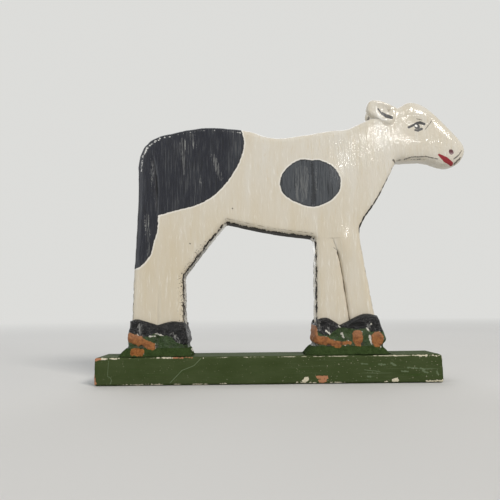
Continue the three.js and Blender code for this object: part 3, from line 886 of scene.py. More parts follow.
hooves = {}
mounds = {}
for pair in ("hind", "fore"):
    mound, rear, front = f"{pair}_mound", f"{pair}_rear_hoof", f"{pair}_front_hoof"
    foot = modelled_foot([mound, rear, front], pair)
    sole = (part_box(mound)[1].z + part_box(rear)[0].z) / 2 / MM
    parting = (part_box(rear)[1].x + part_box(front)[0].x) / 2 / MM
    above = ((0, 0, sole + FOOT_HAIRLINE), (0, 0, 1))
    for hoof, toward in ((rear, -1), (front, 1)):
        beside = ((parting + toward * FOOT_HAIRLINE, 0, 0), (toward, 0, 0))
        hooves[hoof] = finished(f"{hoof}_lump", cut_from(foot, [above, beside]))
    ground = cut_from(foot, [((0, 0, sole - FOOT_HAIRLINE), (0, 0, -1))])
    no_black = np.full(len(ground.vertices), NO_BLACK, np.float32)
    ground.attributes["black"].data.foreach_set("value", no_black)
    mounds[mound] = finished(f"{pair}_ground", ground)
    bpy.data.meshes.remove(foot)

# %% [markdown]
# ## Plinth
# The plinth is a plain board, but its arrises are bruised and a few splinters are gone. The skin is dented
# along the edges with noise, and a shallow plank wave keeps the long faces from being flat.

# %% Plinth
PLINTH_VOXEL = 0.75
PLINTH_SMOOTHING = 2
BRUISES = {"cell": (9, 4, 4), "seed": 71}
BRUISE_START = 0.1
BRUISE_DEPTH = 0.7
BRUISE_REACH = 2.2
PLANK = {"cell": (60, 9, 7), "seed": 73, "size": 0.1}

plinth_low, plinth_high = (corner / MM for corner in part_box("plinth_board"))
plinth_mesh = skin(["plinth_board"], PLINTH_VOXEL, PLINTH_SMOOTHING)
plinth_places = places_of(plinth_mesh)
to_faces = np.minimum(plinth_places - plinth_low, np.subtract(plinth_high, plinth_places))
arris = np.sort(to_faces, 1)[:, 1]
bruise = np.clip(wander(plinth_places, **BRUISES) - BRUISE_START, 0, 1) * ease(arris, BRUISE_REACH, 0)
plank = wander(plinth_places, **PLANK)
inward = np.clip(plank, None, 0) - BRUISE_DEPTH * bruise
move_to(plinth_mesh, plinth_places + normals_of(plinth_mesh) * inward[:, None])
note(plinth_mesh, "arris", arris)
plinth = finished("plinth_plank", plinth_mesh)

# %% [markdown]
# ## Screws and dowels
# Four slotted screws hold the feet from below, and two fluted dowels join the fore legs to the trunk. They
# could be modelled one by one, but a thing that repeats is a job for Geometry Nodes: one tree makes a screw
# from a few named sizes and sets it on every point of a mesh, and another makes a dowel. Four helpers come
# first.

# %% Geometry tree helpers
SCREW_SEATS = [f"{pair}_{end}_foot_screw" for pair in ("hind", "fore") for end in ("rear", "front")]
DOWEL_SEATS = ["fore_rear_dowel", "fore_front_dowel"]


def geometry_tree(name, sizes):
    """An empty geometry tree with the named sizes as inputs, and its input and output nodes."""
    tree = bpy.data.node_groups.new(name, "GeometryNodeTree")
    tree.interface.new_socket("Points", in_out="INPUT", socket_type="NodeSocketGeometry")
    for size in sizes:
        tree.interface.new_socket(size, in_out="INPUT", socket_type="NodeSocketFloat")
    tree.interface.new_socket("Finish", in_out="INPUT", socket_type="NodeSocketMaterial")
    tree.interface.new_socket("Pieces", in_out="OUTPUT", socket_type="NodeSocketGeometry")
    return tree, tree.nodes.new("NodeGroupInput").outputs, tree.nodes.new("NodeGroupOutput")


def lifted(tree, shape, height):
    """The shape moved up by a height."""
    up = add_node(tree, "ShaderNodeCombineXYZ", {"Z": height}).outputs[0]
    return add_node(tree, "GeometryNodeTransform", {"Geometry": shape, "Translation": up}).outputs[0]


def swept(tree, path, section):
    """A closed bar with the section, along the path."""
    bar = add_node(tree, "GeometryNodeCurveToMesh", {
        "Curve": path, "Profile Curve": section, "Fill Caps": True})
    return bar.outputs[0]


def set_on_points(tree, given, made, out):
    """Puts the made shape on every point, turns the copies into plain mesh and gives them their finish."""
    copies = add_node(tree, "GeometryNodeInstanceOnPoints", {"Points": given["Points"], "Instance": made})
    plain = add_node(tree, "GeometryNodeRealizeInstances", {0: copies.outputs[0]}).outputs[0]
    dressed = add_node(tree, "GeometryNodeSetMaterial", {"Geometry": plain, "Material": given["Finish"]})
    tree.links.new(dressed.outputs[0], out.inputs[0])


print("fasteners to make:", len(SCREW_SEATS), "screws and", len(DOWEL_SEATS), "dowels")

# %% [markdown]
# ## The screw
# A cone with a box cut out of it is a slotted head. Below it come a thinner core, a tip, and a thread,
# which is a small ring swept along a helix. The thread could be left to a bump, but it is cheap as real
# geometry.

# %% Screw tree
SCREW_SIZES = ["Length", "Shank Radius", "Head Radius", "Head Height", "Point Length", "Thread Pitch",
               "Slot Width", "Slot Depth"]
HEAD_SIDES = 48
SHANK_SIDES = 32
THREAD_STEPS = 24
RIDGE_SIDES = 5
CORE_SHARE = 0.78
SLOT_BOX = {"long": 3.0, "tall": 2.0}


def slotted_head(tree, given):
    """A cone whose broad face is the head's, with a box cut out of it that is centred on that face."""
    cone = add_node(tree, "GeometryNodeMeshCone", {
        "Vertices": HEAD_SIDES, "Radius Top": given["Shank Radius"], "Radius Bottom": given["Head Radius"],
        "Depth": given["Head Height"]}).outputs["Mesh"]
    slot_size = add_node(tree, "ShaderNodeCombineXYZ", {
        "X": calc(tree, "MULTIPLY", given["Head Radius"], SLOT_BOX["long"]), "Y": given["Slot Width"],
        "Z": calc(tree, "MULTIPLY", given["Slot Depth"], SLOT_BOX["tall"])}).outputs[0]
    slot = add_node(tree, "GeometryNodeMeshCube", {"Size": slot_size}).outputs["Mesh"]
    cut = add_node(tree, "GeometryNodeMeshBoolean", {"Mesh 1": cone, "Mesh 2": slot}, operation="DIFFERENCE")
    return cut.outputs[0]


def thread_on(tree, given, core, straight):
    """A ridge that winds round the straight part of the core."""
    turns = calc(tree, "DIVIDE", straight, given["Thread Pitch"])
    helix = add_node(tree, "GeometryNodeCurveSpiral", {
        "Resolution": THREAD_STEPS, "Rotations": turns, "Start Radius": core, "End Radius": core,
        "Height": straight}).outputs[0]
    ridge = add_node(tree, "GeometryNodeCurvePrimitiveCircle", {
        "Resolution": RIDGE_SIDES, "Radius": calc(tree, "SUBTRACT", given["Shank Radius"], core)}).outputs[0]
    return swept(tree, helix, ridge)


def screw_tree():
    """A slotted countersunk screw that points up, its head's face at the point."""
    tree, given, out = geometry_tree("slotted_screw", SCREW_SIZES)
    head = slotted_head(tree, given)
    core = calc(tree, "MULTIPLY", given["Shank Radius"], CORE_SHARE)
    below_head = calc(tree, "SUBTRACT", given["Length"], given["Head Height"])
    straight = calc(tree, "SUBTRACT", below_head, given["Point Length"])
    shank = add_node(tree, "GeometryNodeMeshCylinder", {
        "Vertices": SHANK_SIDES, "Radius": core, "Depth": straight}).outputs["Mesh"]
    half_straight = calc(tree, "MULTIPLY", straight, 0.5)
    shank = lifted(tree, shank, calc(tree, "ADD", given["Head Height"], half_straight))
    tip = add_node(tree, "GeometryNodeMeshCone", {
        "Vertices": SHANK_SIDES, "Radius Top": 0.0, "Radius Bottom": core,
        "Depth": given["Point Length"]}).outputs["Mesh"]
    tip = lifted(tree, tip, calc(tree, "SUBTRACT", given["Length"], given["Point Length"]))
    thread = lifted(tree, thread_on(tree, given, core, straight), given["Head Height"])
    whole = tree.nodes.new("GeometryNodeJoinGeometry")
    for part in (head, shank, tip, thread):
        tree.links.new(part, whole.inputs[0])
    set_on_points(tree, given, whole.outputs[0], out)
    return tree


slotted_screw = screw_tree()
print("slotted_screw:", len(slotted_screw.nodes), "nodes")

# %% [markdown]
# ## The dowel
# A bought dowel has flutes, so that glue can run along it. A star swept along a line has the same section.

# %% Dowel tree
DOWEL_SIZES = ["Length", "Radius", "Flute Depth"]
FLUTES = 14


def dowel_tree():
    """A fluted dowel that stands on the point."""
    tree, given, out = geometry_tree("fluted_dowel", DOWEL_SIZES)
    top = add_node(tree, "ShaderNodeCombineXYZ", {"Z": given["Length"]}).outputs[0]
    axis = add_node(tree, "GeometryNodeCurvePrimitiveLine", {"End": top}).outputs[0]
    inner = calc(tree, "SUBTRACT", given["Radius"], given["Flute Depth"])
    ribs = add_node(tree, "GeometryNodeCurveStar", {
        "Points": FLUTES, "Inner Radius": inner, "Outer Radius": given["Radius"]}).outputs["Curve"]
    set_on_points(tree, given, swept(tree, axis, ribs), out)
    return tree


fluted_dowel = dowel_tree()
print("fluted_dowel:", len(fluted_dowel.nodes), "nodes")

# %% [markdown]
# ## Paint, as shared node groups
# Three effects come back in several finishes, so each is a node group with named inputs. The first is
# brushed streaks: noise that is drawn out along one direction, as bristles draw paint. A cell is the size
# of one blot of the noise, in millimetres along x, y and z.

# %% Brushed streaks
ORIGIN = (0.0, 0.0, 0.0)
NOISE_MIDDLE = 0.5
STREAK_NOISE = {"scale": 1.0, "detail": 3.0, "roughness": 0.6}


def paint_group(name, inputs, output):
    """An empty shader group with named inputs, given as name, socket type and first value, and one output."""
    group = bpy.data.node_groups.new(name, "ShaderNodeTree")
    for label, kind, first in inputs:
        socket = group.interface.new_socket(label, in_out="INPUT", socket_type=f"NodeSocket{kind}")
        socket.default_value = first
    group.interface.new_socket(output, in_out="OUTPUT", socket_type="NodeSocketFloat")
    return group, group.nodes.new("NodeGroupInput").outputs, group.nodes.new("NodeGroupOutput").inputs[0]


streaks, given, out = paint_group("brushed_streaks", [
    ("Place", "Vector", ORIGIN), ("Cell", "Vector", (1.0, 1.0, 30.0)), ("Contrast", "Float", 1.0)], "Streak")
stretched = vector_calc(streaks, "DIVIDE", given["Place"], given["Cell"])
cloud = noise_node(streaks, stretched, **STREAK_NOISE)[0]
spread = calc(streaks, "MULTIPLY", calc(streaks, "SUBTRACT", cloud, NOISE_MIDDLE), given["Contrast"])
streaks.links.new(calc(streaks, "ADD", spread, NOISE_MIDDLE, clamp=True), out)
print("brushed_streaks:", len(streaks.nodes), "nodes")

# %% [markdown]
# ## A dab
# A dab is one touch of a brush, or one chip, between two points. Its mask is 1 within half a width of the
# line between them, and noise frays its border. Drawn like this, it stays sharp at any distance.

# %% Brush dab
DAB_SOFTNESS = 0.15
FRINGE_NOISE = {"scale": 0.8, "detail": 3.0}
FRINGE_SWING = 2.0

dab, given, out = paint_group("brush_dab", [
    ("Place", "Vector", ORIGIN), ("From", "Vector", ORIGIN), ("To", "Vector", ORIGIN),
    ("From Width", "Float", 1.0), ("To Width", "Float", 1.0), ("Ragged", "Float", 0.2),
    ("Softness", "Float", DAB_SOFTNESS)], "Mask")
away = vector_calc(dab, "SUBTRACT", given["Place"], given["From"])
along = vector_calc(dab, "SUBTRACT", given["To"], given["From"])
share = calc(dab, "DIVIDE", vector_calc(dab, "DOT_PRODUCT", away, along, 1),
             vector_calc(dab, "DOT_PRODUCT", along, along, 1), clamp=True)
reached = add_node(dab, "ShaderNodeVectorMath", {0: along, "Scale": share}, operation="SCALE").outputs[0]
gap = vector_calc(dab, "DISTANCE", away, reached, 1)
wider = calc(dab, "MULTIPLY", share, calc(dab, "SUBTRACT", given["To Width"], given["From Width"]))
half_width = calc(dab, "MULTIPLY", calc(dab, "ADD", given["From Width"], wider), 0.5)
fringe = noise_node(dab, given["Place"], **FRINGE_NOISE)[0]
fringe = calc(dab, "MULTIPLY", calc(dab, "SUBTRACT", fringe, NOISE_MIDDLE), given["Ragged"])
over = calc(dab, "SUBTRACT", calc(dab, "ADD", gap, calc(dab, "MULTIPLY", fringe, FRINGE_SWING)), half_width)
low = calc(dab, "MULTIPLY", given["Softness"], -1.0)
dab.links.new(soft_step(dab, over, given["Softness"], low), out)
print("brush_dab:", len(dab.nodes), "nodes")

# %% [markdown]
# ## Broken paint
# Paint breaks at an edge and holds on away from it. The mask starts where a distance is 0 and ends
# raggedly, within a reach, where noise lets go of it. The amount says how much of the edge has broken.

# %% Broken paint
TORN_NOISE = {"scale": 1.0, "detail": 4.0, "roughness": 0.65}
TORN_BORDER = 0.06

broken, given, out = paint_group("broken_paint", [
    ("Place", "Vector", ORIGIN), ("Distance", "Float", 0.0), ("Reach", "Float", 1.0),
    ("Amount", "Float", 0.5), ("Cell", "Vector", (2.0, 2.0, 2.0))], "Mask")
torn = vector_calc(broken, "DIVIDE", given["Place"], given["Cell"])
torn = noise_node(broken, torn, **TORN_NOISE)[0]
held = calc(broken, "ADD", calc(broken, "SUBTRACT", given["Amount"], 1.0), torn)
left = calc(broken, "SUBTRACT", held, calc(broken, "DIVIDE", given["Distance"], given["Reach"]))
broken.links.new(soft_step(broken, left, 0.0, TORN_BORDER), out)
print("broken_paint:", len(broken.nodes), "nodes")

# %% [markdown]
# ## Laying paint on
# A finish is built as a painter works, one layer over another. These helpers start a material, read what is
# kept on the skin, place a group, lay several dabs and set the bump. One lays a wash: a second colour that
# comes up over a span of some value.

# %% Finish helpers
SIDE_VIEW = (1.0, 0.0, 1.0)


def new_finish(name):
    """A material, its tree, its shader, and places on the piece in millimetres."""
    material = bpy.data.materials.new(name)
    material.use_nodes = True
    tree = material.node_tree
    at = add_node(tree, "ShaderNodeTexCoord").outputs["Object"]
    place = add_node(tree, "ShaderNodeVectorMath", {0: at, "Scale": 1 / MM}, operation="SCALE").outputs[0]
    return material, tree, tree.nodes["Principled BSDF"], place


def noted(tree, name):
    """A value kept on the piece's vertices."""
    return add_node(tree, "ShaderNodeAttribute", attribute_name=name).outputs["Fac"]


def use_group(tree, group, **inputs):
    """One group placed in a material; an input's name is given with _ for its space."""
    named = {label.replace("_", " "): value for label, value in inputs.items()}
    return add_node(tree, "ShaderNodeGroup", named, node_tree=group).outputs[0]


def part_of(tree, mask, share):
    """A mask at a share of its strength."""
    return calc(tree, "MULTIPLY", mask, share)


def washed(tree, colour, hue, value, span, share):
    """The colour with a wash of a hue, which comes up to the share over a span of the value."""
    return blend(tree, part_of(tree, soft_step(tree, value, *span), share), colour, hue)


def dabs(tree, place, strokes, ragged, depth=0.0, softness=DAB_SOFTNESS):
    """The mask of several strokes, each two points in side view and two widths, at one depth along y."""
    mask = None
    for start, end, from_width, to_width in strokes:
        one = use_group(tree, dab, Place=place, From=(start[0], depth, start[1]), To=(end[0], depth, end[1]),
                        From_Width=from_width, To_Width=to_width, Ragged=ragged, Softness=softness)
        mask = one if mask is None else calc(tree, "MAXIMUM", mask, one)
    return mask


def through_dabs(tree, place, strokes, ragged):
    """The mask of strokes that show on both sides, as if the side view were pressed through the piece."""
    return dabs(tree, vector_calc(tree, "MULTIPLY", place, SIDE_VIEW), strokes, ragged)


def bumped(tree, shader, height, depth):
    """Gives the shader a bump: height from 0 to 1 stands for depth in metres."""
    bump = add_node(tree, "ShaderNodeBump", {"Height": height, "Distance": depth, "Strength": 1.0})
    tree.links.new(bump.outputs[0], shader.inputs["Normal"])


print("paint groups to lay on:", ", ".join(group.name for group in (streaks, dab, broken)))

# %% [markdown]
# ## Cream and charcoal enamel
# The figure was painted by hand over upright grain, so both coats are streaked. A picture of the paint
# could be wrapped round it, but streaks made from noise hold at any distance and on every side. Four of
# them serve the whole finish: fine brush marks, longer scratches, broad changes of tone, and a stipple for
# the gloss. The charcoal's border is the distance kept on the skin, which noise wobbles as a hand would.

# %% Figure paint
SWAY_NOISE = {"scale": 0.12, "detail": 1.0}
SWAY = (3.0, 0.0, 0.0)
FINE = {"Cell": (0.8, 2.0, 9.0), "Contrast": 1.8}
LONG = {"Cell": (0.7, 3.0, 14.0), "Contrast": 2.2}
BROAD = {"Cell": (11.0, 16.0, 60.0), "Contrast": 2.0}
STIPPLE = {"Cell": (1.8, 1.8, 8.0), "Contrast": 1.8}
WOBBLE_NOISE = {"scale": 0.35, "detail": 3.0}
WOBBLE = 1.4
PATCH_BORDER = (0.2, -0.2)

figure_paint, tree, shader, place = new_finish("cream_and_charcoal_enamel")
axis_x, axis_y, axis_z = add_node(tree, "ShaderNodeSeparateXYZ", {0: place}).outputs
relief, rim, shaded_underside, chipped, patch = (
    noted(tree, name) for name in ("relief", "rim", "shaded_underside", "chipped", "charcoal"))
sway = noise_node(tree, place, **SWAY_NOISE)["Color"]
swayed = vector_calc(tree, "ADD", place, vector_calc(tree, "MULTIPLY", sway, SWAY))
fine = use_group(tree, streaks, Place=swayed, **FINE)
long_streak = use_group(tree, streaks, Place=place, **LONG)
broad = use_group(tree, streaks, Place=place, **BROAD)
stipple = use_group(tree, streaks, Place=swayed, **STIPPLE)
wobble = noise_node(tree, place, **WOBBLE_NOISE)[0]
wobble = part_of(tree, calc(tree, "SUBTRACT", wobble, NOISE_MIDDLE), WOBBLE)
edge = calc(tree, "ADD", patch, wobble)
is_dark = soft_step(tree, edge, *PATCH_BORDER)
print("figure paint, streaks and patches:", len(tree.nodes), "nodes")

# %% [markdown]
# ## The cream
# The cream is whitest on the head and back, and has yellowed toward the legs. Chalky and yellow brush marks
# lie over it, and a pale line, painted as a highlight, runs round the charcoal. Below, a wash is written as
# the span of a value over which it comes up, and the share that it comes up to.

# %% Cream
CREAM = srgb(212, 207, 196)
CREAM_AGED = srgb(202, 189, 163)
CHALK_AND_HIGHLIGHT = srgb(234, 231, 223)
AGED_BY_STREAK = 0.6
AGED_BY_HEIGHT = 0.4
AGED_HEIGHT = (150.0, 80.0)
CHALKY_STREAKS = ((0.6, 0.95), 0.5)
AGED_STREAKS = ((0.4, 0.1), 0.6)
PALE_HALO_HIGHLIGHT = ((1.3, 0.5), 0.6)

by_streak = part_of(tree, broad, AGED_BY_STREAK)
by_height = part_of(tree, soft_step(tree, axis_z, *AGED_HEIGHT), AGED_BY_HEIGHT)
cream = blend(tree, calc(tree, "ADD", by_streak, by_height), CREAM, CREAM_AGED)
cream = washed(tree, cream, CHALK_AND_HIGHLIGHT, fine, *CHALKY_STREAKS)
cream = washed(tree, cream, CREAM_AGED, fine, *AGED_STREAKS)
# A pale line round the charcoal: a painted highlight.
cream = washed(tree, cream, CHALK_AND_HIGHLIGHT, edge, *PALE_HALO_HIGHLIGHT)
print("with the cream:", len(tree.nodes), "nodes")

# %% [markdown]
# ## The charcoal
# The charcoal is thin enough for paler scratches to show, most of all on the oval, which is rubbed beside a
# dark seam. The rubbed places were read off the photograph, and each is a dab; the one along the tail's
# ridge is a painted highlight. They don't paint anything themselves: they let more of the scratches and
# brush marks through, so they have no hard outline.

# %% Charcoal
CHARCOAL = srgb(11, 15, 29)
SLATE = srgb(72, 76, 80)
STREAK_GREY = srgb(132, 132, 129)
DEEP_BLACK = srgb(10, 10, 13)
THINNER_TOWARD_OVAL = (-30.0, 10.0)
THINNEST = 0.8
RUBBED_TONE = (0.35, 0.85)
RUBBED_TINT = 0.12
RUBBED_SCRATCHES = 0.16
LEAST_SCRATCHES = 0.1
PALE_SCRATCHES = (0.48, 0.85)
DARK_SCRATCHES = ((0.45, 0.15), 0.75)
DARK_BORDER = ((-1.2, -0.3), 0.6)
# The last dab, along the tail's ridge, is a painted highlight; the others are rubbed places.
RUMP_RUBBED_AND_TAIL_HIGHLIGHT = [
    ((-36, 154), (-31, 138), 4, 3), ((-57, 165), (-56, 142), 4, 2.5), ((-45, 147), (-45, 135), 1.5, 1),
    ((-51, 169), (-49, 160), 4, 2), ((-81.5, 112), (-79.5, 86), 3, 3), ((-78.8, 152), (-77.6, 126), 1.6, 1.2)]
RUMP_RUBBED_AND_HIGHLIGHT_SHARE = 0.85
RUMP_RAGGED = 2.5
OVAL_RUBBED = [((25.5, 142), (24.5, 125), 9, 8), ((34.7, 146), (34.6, 127), 0.9, 0.7)]
OVAL_STREAKS = (0.3, 0.75)
OVAL_RUBBED_SHARE = 0.4
OVAL_SEAM = [((32.2, 148), (32.8, 133), 1.8, 2.2), ((32.8, 133), (32.4, 120), 2.2, 2.4)]
OVAL_SEAM_SHARE = 0.6
OVAL_RAGGED = 1.5

thin = part_of(tree, soft_step(tree, axis_x, *THINNER_TOWARD_OVAL), THINNEST)
dark = blend(tree, thin, CHARCOAL, SLATE)
rubbed = soft_step(tree, broad, *RUBBED_TONE)
dark = blend(tree, part_of(tree, rubbed, RUBBED_TINT), dark, SLATE)
rubbed = part_of(tree, rubbed, RUBBED_SCRATCHES)
rubbed_places_and_tail_highlight = part_of(tree, through_dabs(tree, place, RUMP_RUBBED_AND_TAIL_HIGHLIGHT, RUMP_RAGGED), RUMP_RUBBED_AND_HIGHLIGHT_SHARE)
scratchy = calc(tree, "ADD", calc(tree, "MAXIMUM", rubbed, rubbed_places_and_tail_highlight), LEAST_SCRATCHES)
dark = washed(tree, dark, STREAK_GREY, long_streak, PALE_SCRATCHES, scratchy)
dark = washed(tree, dark, DEEP_BLACK, long_streak, *DARK_SCRATCHES)
oval_rubbed = through_dabs(tree, place, OVAL_RUBBED, OVAL_RAGGED)
oval_rubbed = part_of(tree, oval_rubbed, soft_step(tree, fine, *OVAL_STREAKS))
dark = blend(tree, part_of(tree, oval_rubbed, OVAL_RUBBED_SHARE), dark, STREAK_GREY)
seam = part_of(tree, through_dabs(tree, place, OVAL_SEAM, OVAL_RAGGED), OVAL_SEAM_SHARE)
dark = blend(tree, seam, dark, DEEP_BLACK)
dark = washed(tree, dark, DEEP_BLACK, edge, *DARK_BORDER)
print("with the charcoal:", len(tree.nodes), "nodes")

# %% [markdown]
# ## Flecks and painted glints on the rump
# Along the top of the rump the paint has worn through in pale flecks, and painted glints lie among them. They
# gather on a line a few millimetres in from the rim and get thicker toward the tail, where most glints are.
# They could be drawn one by one, but there are too many, so they are broken paint, measured from that line.

# %% Flecks
FLECK_AND_GLINT_GREY = srgb(198, 197, 192)
FLECK_LINE = 3.0
FLECK_AND_GLINT_AMOUNT = 0.46
GLINTS_BY_TAIL = 0.09
FLECKS_GROW = (-62.0, -74.0)
FLECKS_RISE = (136.0, 146.0)
FLECKS_AND_GLINTS = {"Reach": 7.0, "Cell": (2.2, 2.2, 2.2)}

# Pale worn flecks, with painted glints that gather toward the tail.
glints_by_tail = part_of(tree, soft_step(tree, axis_x, *FLECKS_GROW), GLINTS_BY_TAIL)
fleck_and_glint_amount = calc(tree, "ADD", glints_by_tail, FLECK_AND_GLINT_AMOUNT)
fleck_and_glint_amount = part_of(tree, soft_step(tree, axis_z, *FLECKS_RISE), fleck_and_glint_amount)
off_line = calc(tree, "ABSOLUTE", calc(tree, "SUBTRACT", rim, FLECK_LINE))
fleck = use_group(tree, broken, Place=place, Distance=off_line, Amount=fleck_and_glint_amount, **FLECKS_AND_GLINTS)
dark = blend(tree, fleck, dark, FLECK_AND_GLINT_GREY)
colour = blend(tree, is_dark, cream, dark)
print("with the flecks:", len(tree.nodes), "nodes")

# %% [markdown]
# ## Chips down to chalk and old wood, and painted shade under the belly
# Along the chipped stretches of the sawn edge the cream has lost flakes: down to chalk, and in dashes down
# to the old dark wood. On the chest the dashes keep to the arris, and elsewhere they cross the edge. Specks
# are scattered over the thigh. The belly's underside is painted dark as shade, broken like worn paint, and
# the bevel above it is worn to grime.

# %% Chips
# A dark brown for old wood, which is also used as painted shade.
OLD_WOOD_AND_SHADE = srgb(42, 36, 30)
# A brown for grime, which is also used as painted shade in hollows.
GRIME_AND_SHADE = srgb(96, 80, 60)
ARRIS_ACROSS = (2.0, 5.5)
CHALK_AMOUNT = 0.26
CHALK_BY_ARRIS = 0.22
CHALK_CHIPS = {"Reach": 4.0, "Cell": (1.4, 2.0, 2.4)}
CHEST_FROM = (45.0, 55.0)
THIGH_FROM = (-25.0, -45.0)
DASH_AMOUNT = 0.28
DASH_BY_ARRIS = 0.33
DASH_MID_EDGE = 0.16
DASH_LINE = {"outer": 0.7, "inner": 0.8}
DASHES = {"Reach": 2.6, "Cell": (2.0, 2.0, 3.4)}
BELLY_SHADE_AMOUNT = 0.74
BELLY_SHADE_BREAKS = {"Reach": 3.0, "Cell": (1.6, 4.0, 2.0)}
SPECK_AMOUNT = 0.57
SPECKS = {"Reach": 30.0, "Cell": (0.9, 0.9, 1.2)}
BEVEL_LINE = 2.4
BEVEL_AMOUNT = 0.58
BEVEL_SHARE = 0.7
BEVEL = {"Reach": 1.2, "Cell": (4.0, 4.0, 2.0)}

near_arris = soft_step(tree, calc(tree, "ABSOLUTE", axis_y), *ARRIS_ACROSS)
chalk_amount = part_of(tree, chipped, part_of(tree, near_arris, CHALK_BY_ARRIS))
chalk_amount = calc(tree, "ADD", chalk_amount, CHALK_AMOUNT)
chip = use_group(tree, broken, Place=place, Distance=rim, Amount=chalk_amount, **CHALK_CHIPS)
colour = blend(tree, chip, colour, CHALK_AND_HIGHLIGHT)

on_chest = soft_step(tree, axis_x, *CHEST_FROM)
mid_edge = part_of(tree, calc(tree, "SUBTRACT", 1.0, on_chest), DASH_MID_EDGE)
on_thigh = soft_step(tree, axis_x, *THIGH_FROM)
by_arris = part_of(tree, near_arris, DASH_BY_ARRIS)
dash_amount = part_of(tree, chipped, calc(tree, "MAXIMUM", by_arris, mid_edge))
dash_amount = calc(tree, "ADD", dash_amount, DASH_AMOUNT)
off_arris = part_of(tree, calc(tree, "SUBTRACT", DASH_LINE["outer"], rim), on_chest)
off_arris = calc(tree, "MAXIMUM", calc(tree, "SUBTRACT", rim, DASH_LINE["inner"]), off_arris)
dash = use_group(tree, broken, Place=place, Distance=off_arris, Amount=dash_amount, **DASHES)
# Painted shade under the belly, drawn as broken paint in the old wood's dark brown.
belly_shade_amount = part_of(tree, shaded_underside, BELLY_SHADE_AMOUNT)
belly_shade = use_group(tree, broken, Place=place, Distance=rim, Amount=belly_shade_amount, **BELLY_SHADE_BREAKS)
speck_amount = part_of(tree, chipped, part_of(tree, on_thigh, SPECK_AMOUNT))
speck = use_group(tree, broken, Place=place, Distance=rim, Amount=speck_amount, **SPECKS)
old_wood_and_shade_mask = calc(tree, "MAXIMUM", calc(tree, "MAXIMUM", dash, speck), belly_shade)
colour = blend(tree, old_wood_and_shade_mask, colour, OLD_WOOD_AND_SHADE)

off_bevel = calc(tree, "ABSOLUTE", calc(tree, "SUBTRACT", rim, BEVEL_LINE))
bevel_amount = part_of(tree, shaded_underside, BEVEL_AMOUNT)
bevel = use_group(tree, broken, Place=place, Distance=off_bevel, Amount=bevel_amount, **BEVEL)
colour = blend(tree, part_of(tree, bevel, BEVEL_SHARE), colour, GRIME_AND_SHADE)
print("with the chips:", len(tree.nodes), "nodes")

# %% [markdown]
# ## Grime, painted shade and creases
# The hollows that the relief shows are darkened, as grime and as painted shade, less on the thigh. A few
# gouged or drawn lines at the brow, cheek, muzzle and jaw are creases of old paint, and two spots on flank
# and thigh are deep chips. They are dabs at places read off the photograph.

# %% Grime and creases
HOLLOW_DARKENING_SHARE = 0.8
LESS_ON_THIGH = 0.5
HOLLOW = (0.06, 0.4)
CREASES = [
    ((106.8, 179.8), (110.3, 179.0), 0.5, 0.5), ((117.7, 178.5), (112.3, 171.6), 0.5, 0.4),
    ((132.0, 150.9), (135.7, 153.9), 0.7, 0.8), ((135.7, 153.9), (138.1, 157.2), 0.8, 0.4),
    ((132.8, 147.9), (137.0, 152.0), 1.3, 1.1), ((97.4, 151.2), (102.4, 152.6), 0.4, 0.6),
    ((102.4, 152.6), (112.2, 152.9), 0.6, 0.6), ((112.2, 152.9), (120.8, 151.0), 0.6, 0.5),
    ((89.3, 150.2), (91.2, 148.6), 1.6, 1.0), ((45.6, 89.2), (47.6, 87.2), 0.3, 0.35),
    ((-22.9, 117.0), (-22.6, 116.8), 0.9, 0.9), ((-52.1, 93.0), (-51.8, 92.8), 0.8, 0.8)]
CREASE_RAGGED = 0.5
CREASE_SHARE = 0.8

on_cream = calc(tree, "SUBTRACT", HOLLOW_DARKENING_SHARE, part_of(tree, on_thigh, LESS_ON_THIGH))
hollow_darkening = calc(tree, "MAXIMUM", is_dark, on_cream)
# Hollows are darkened, as grime and as painted shade.
hollow_grime_and_shade = part_of(tree, soft_step(tree, relief, *HOLLOW), hollow_darkening)
colour = blend(tree, hollow_grime_and_shade, colour, blend(tree, is_dark, GRIME_AND_SHADE, DEEP_BLACK))
creases = through_dabs(tree, place, CREASES, CREASE_RAGGED)
colour = blend(tree, part_of(tree, creases, CREASE_SHARE), colour, OLD_WOOD_AND_SHADE)
print("with the creases:", len(tree.nodes), "nodes")

# %% [markdown]
# ## The face
# The face is a few strokes of a small brush: a painted highlight on the rim of the ear's cup, black for lids,
# pupil and ear, red lips, a mauve nostril, and a glint in the eye. Each stroke is a dab, and all show on both
# sides. The far ear has two black touches of its own.

# %% Face
LINE_BLACK = srgb(30, 29, 29)
LIP_RED = srgb(142, 26, 34)
NOSTRIL_MAUVE = srgb(98, 60, 63)
GLINT = srgb(232, 230, 224)
# A pale stroke along the ear cup's rim is a painted highlight.
EAR_RIM_HIGHLIGHT = [
    ((78.4, 188.2), (78.6, 185.3), 0.9, 1.2), ((78.6, 185.3), (79.5, 181.7), 1.2, 1.3),
    ((79.5, 181.7), (82.2, 179.1), 1.3, 1.3), ((82.2, 179.1), (85.3, 178.7), 1.3, 0.9)]
UPPER_LID = [
    ((101.1, 173.7), (104.1, 175.1), 1.7, 1.7), ((104.1, 175.1), (106.7, 176.6), 1.7, 1.8),
    ((106.7, 176.6), (109.2, 177.1), 1.8, 2.0), ((109.2, 177.1), (112.2, 176.1), 2.0, 1.9)]
LOWER_LID = [((105.5, 171.6), (107.5, 171.3), 1.5, 1.8), ((107.5, 171.3), (110.1, 172.5), 1.8, 1.8)]
PUPIL = [((107.0, 174.3), (107.2, 174.1), 3.8, 3.7)]
EAR_LINES = [
    ((79.8, 186.8), (81.8, 184.0), 1.2, 1.3), ((82.6, 183.5), (85.6, 181.7), 2.2, 3.0),
    ((85.6, 181.7), (88.7, 180.5), 3.0, 2.8)]
LIPS = [((121.4, 153.9), (126.0, 150.5), 1.4, 3.7), ((126.0, 150.5), (130.6, 147.8), 3.7, 2.6)]
NOSTRIL = [((130.0, 156.1), (130.2, 155.5), 3.3, 3.3)]
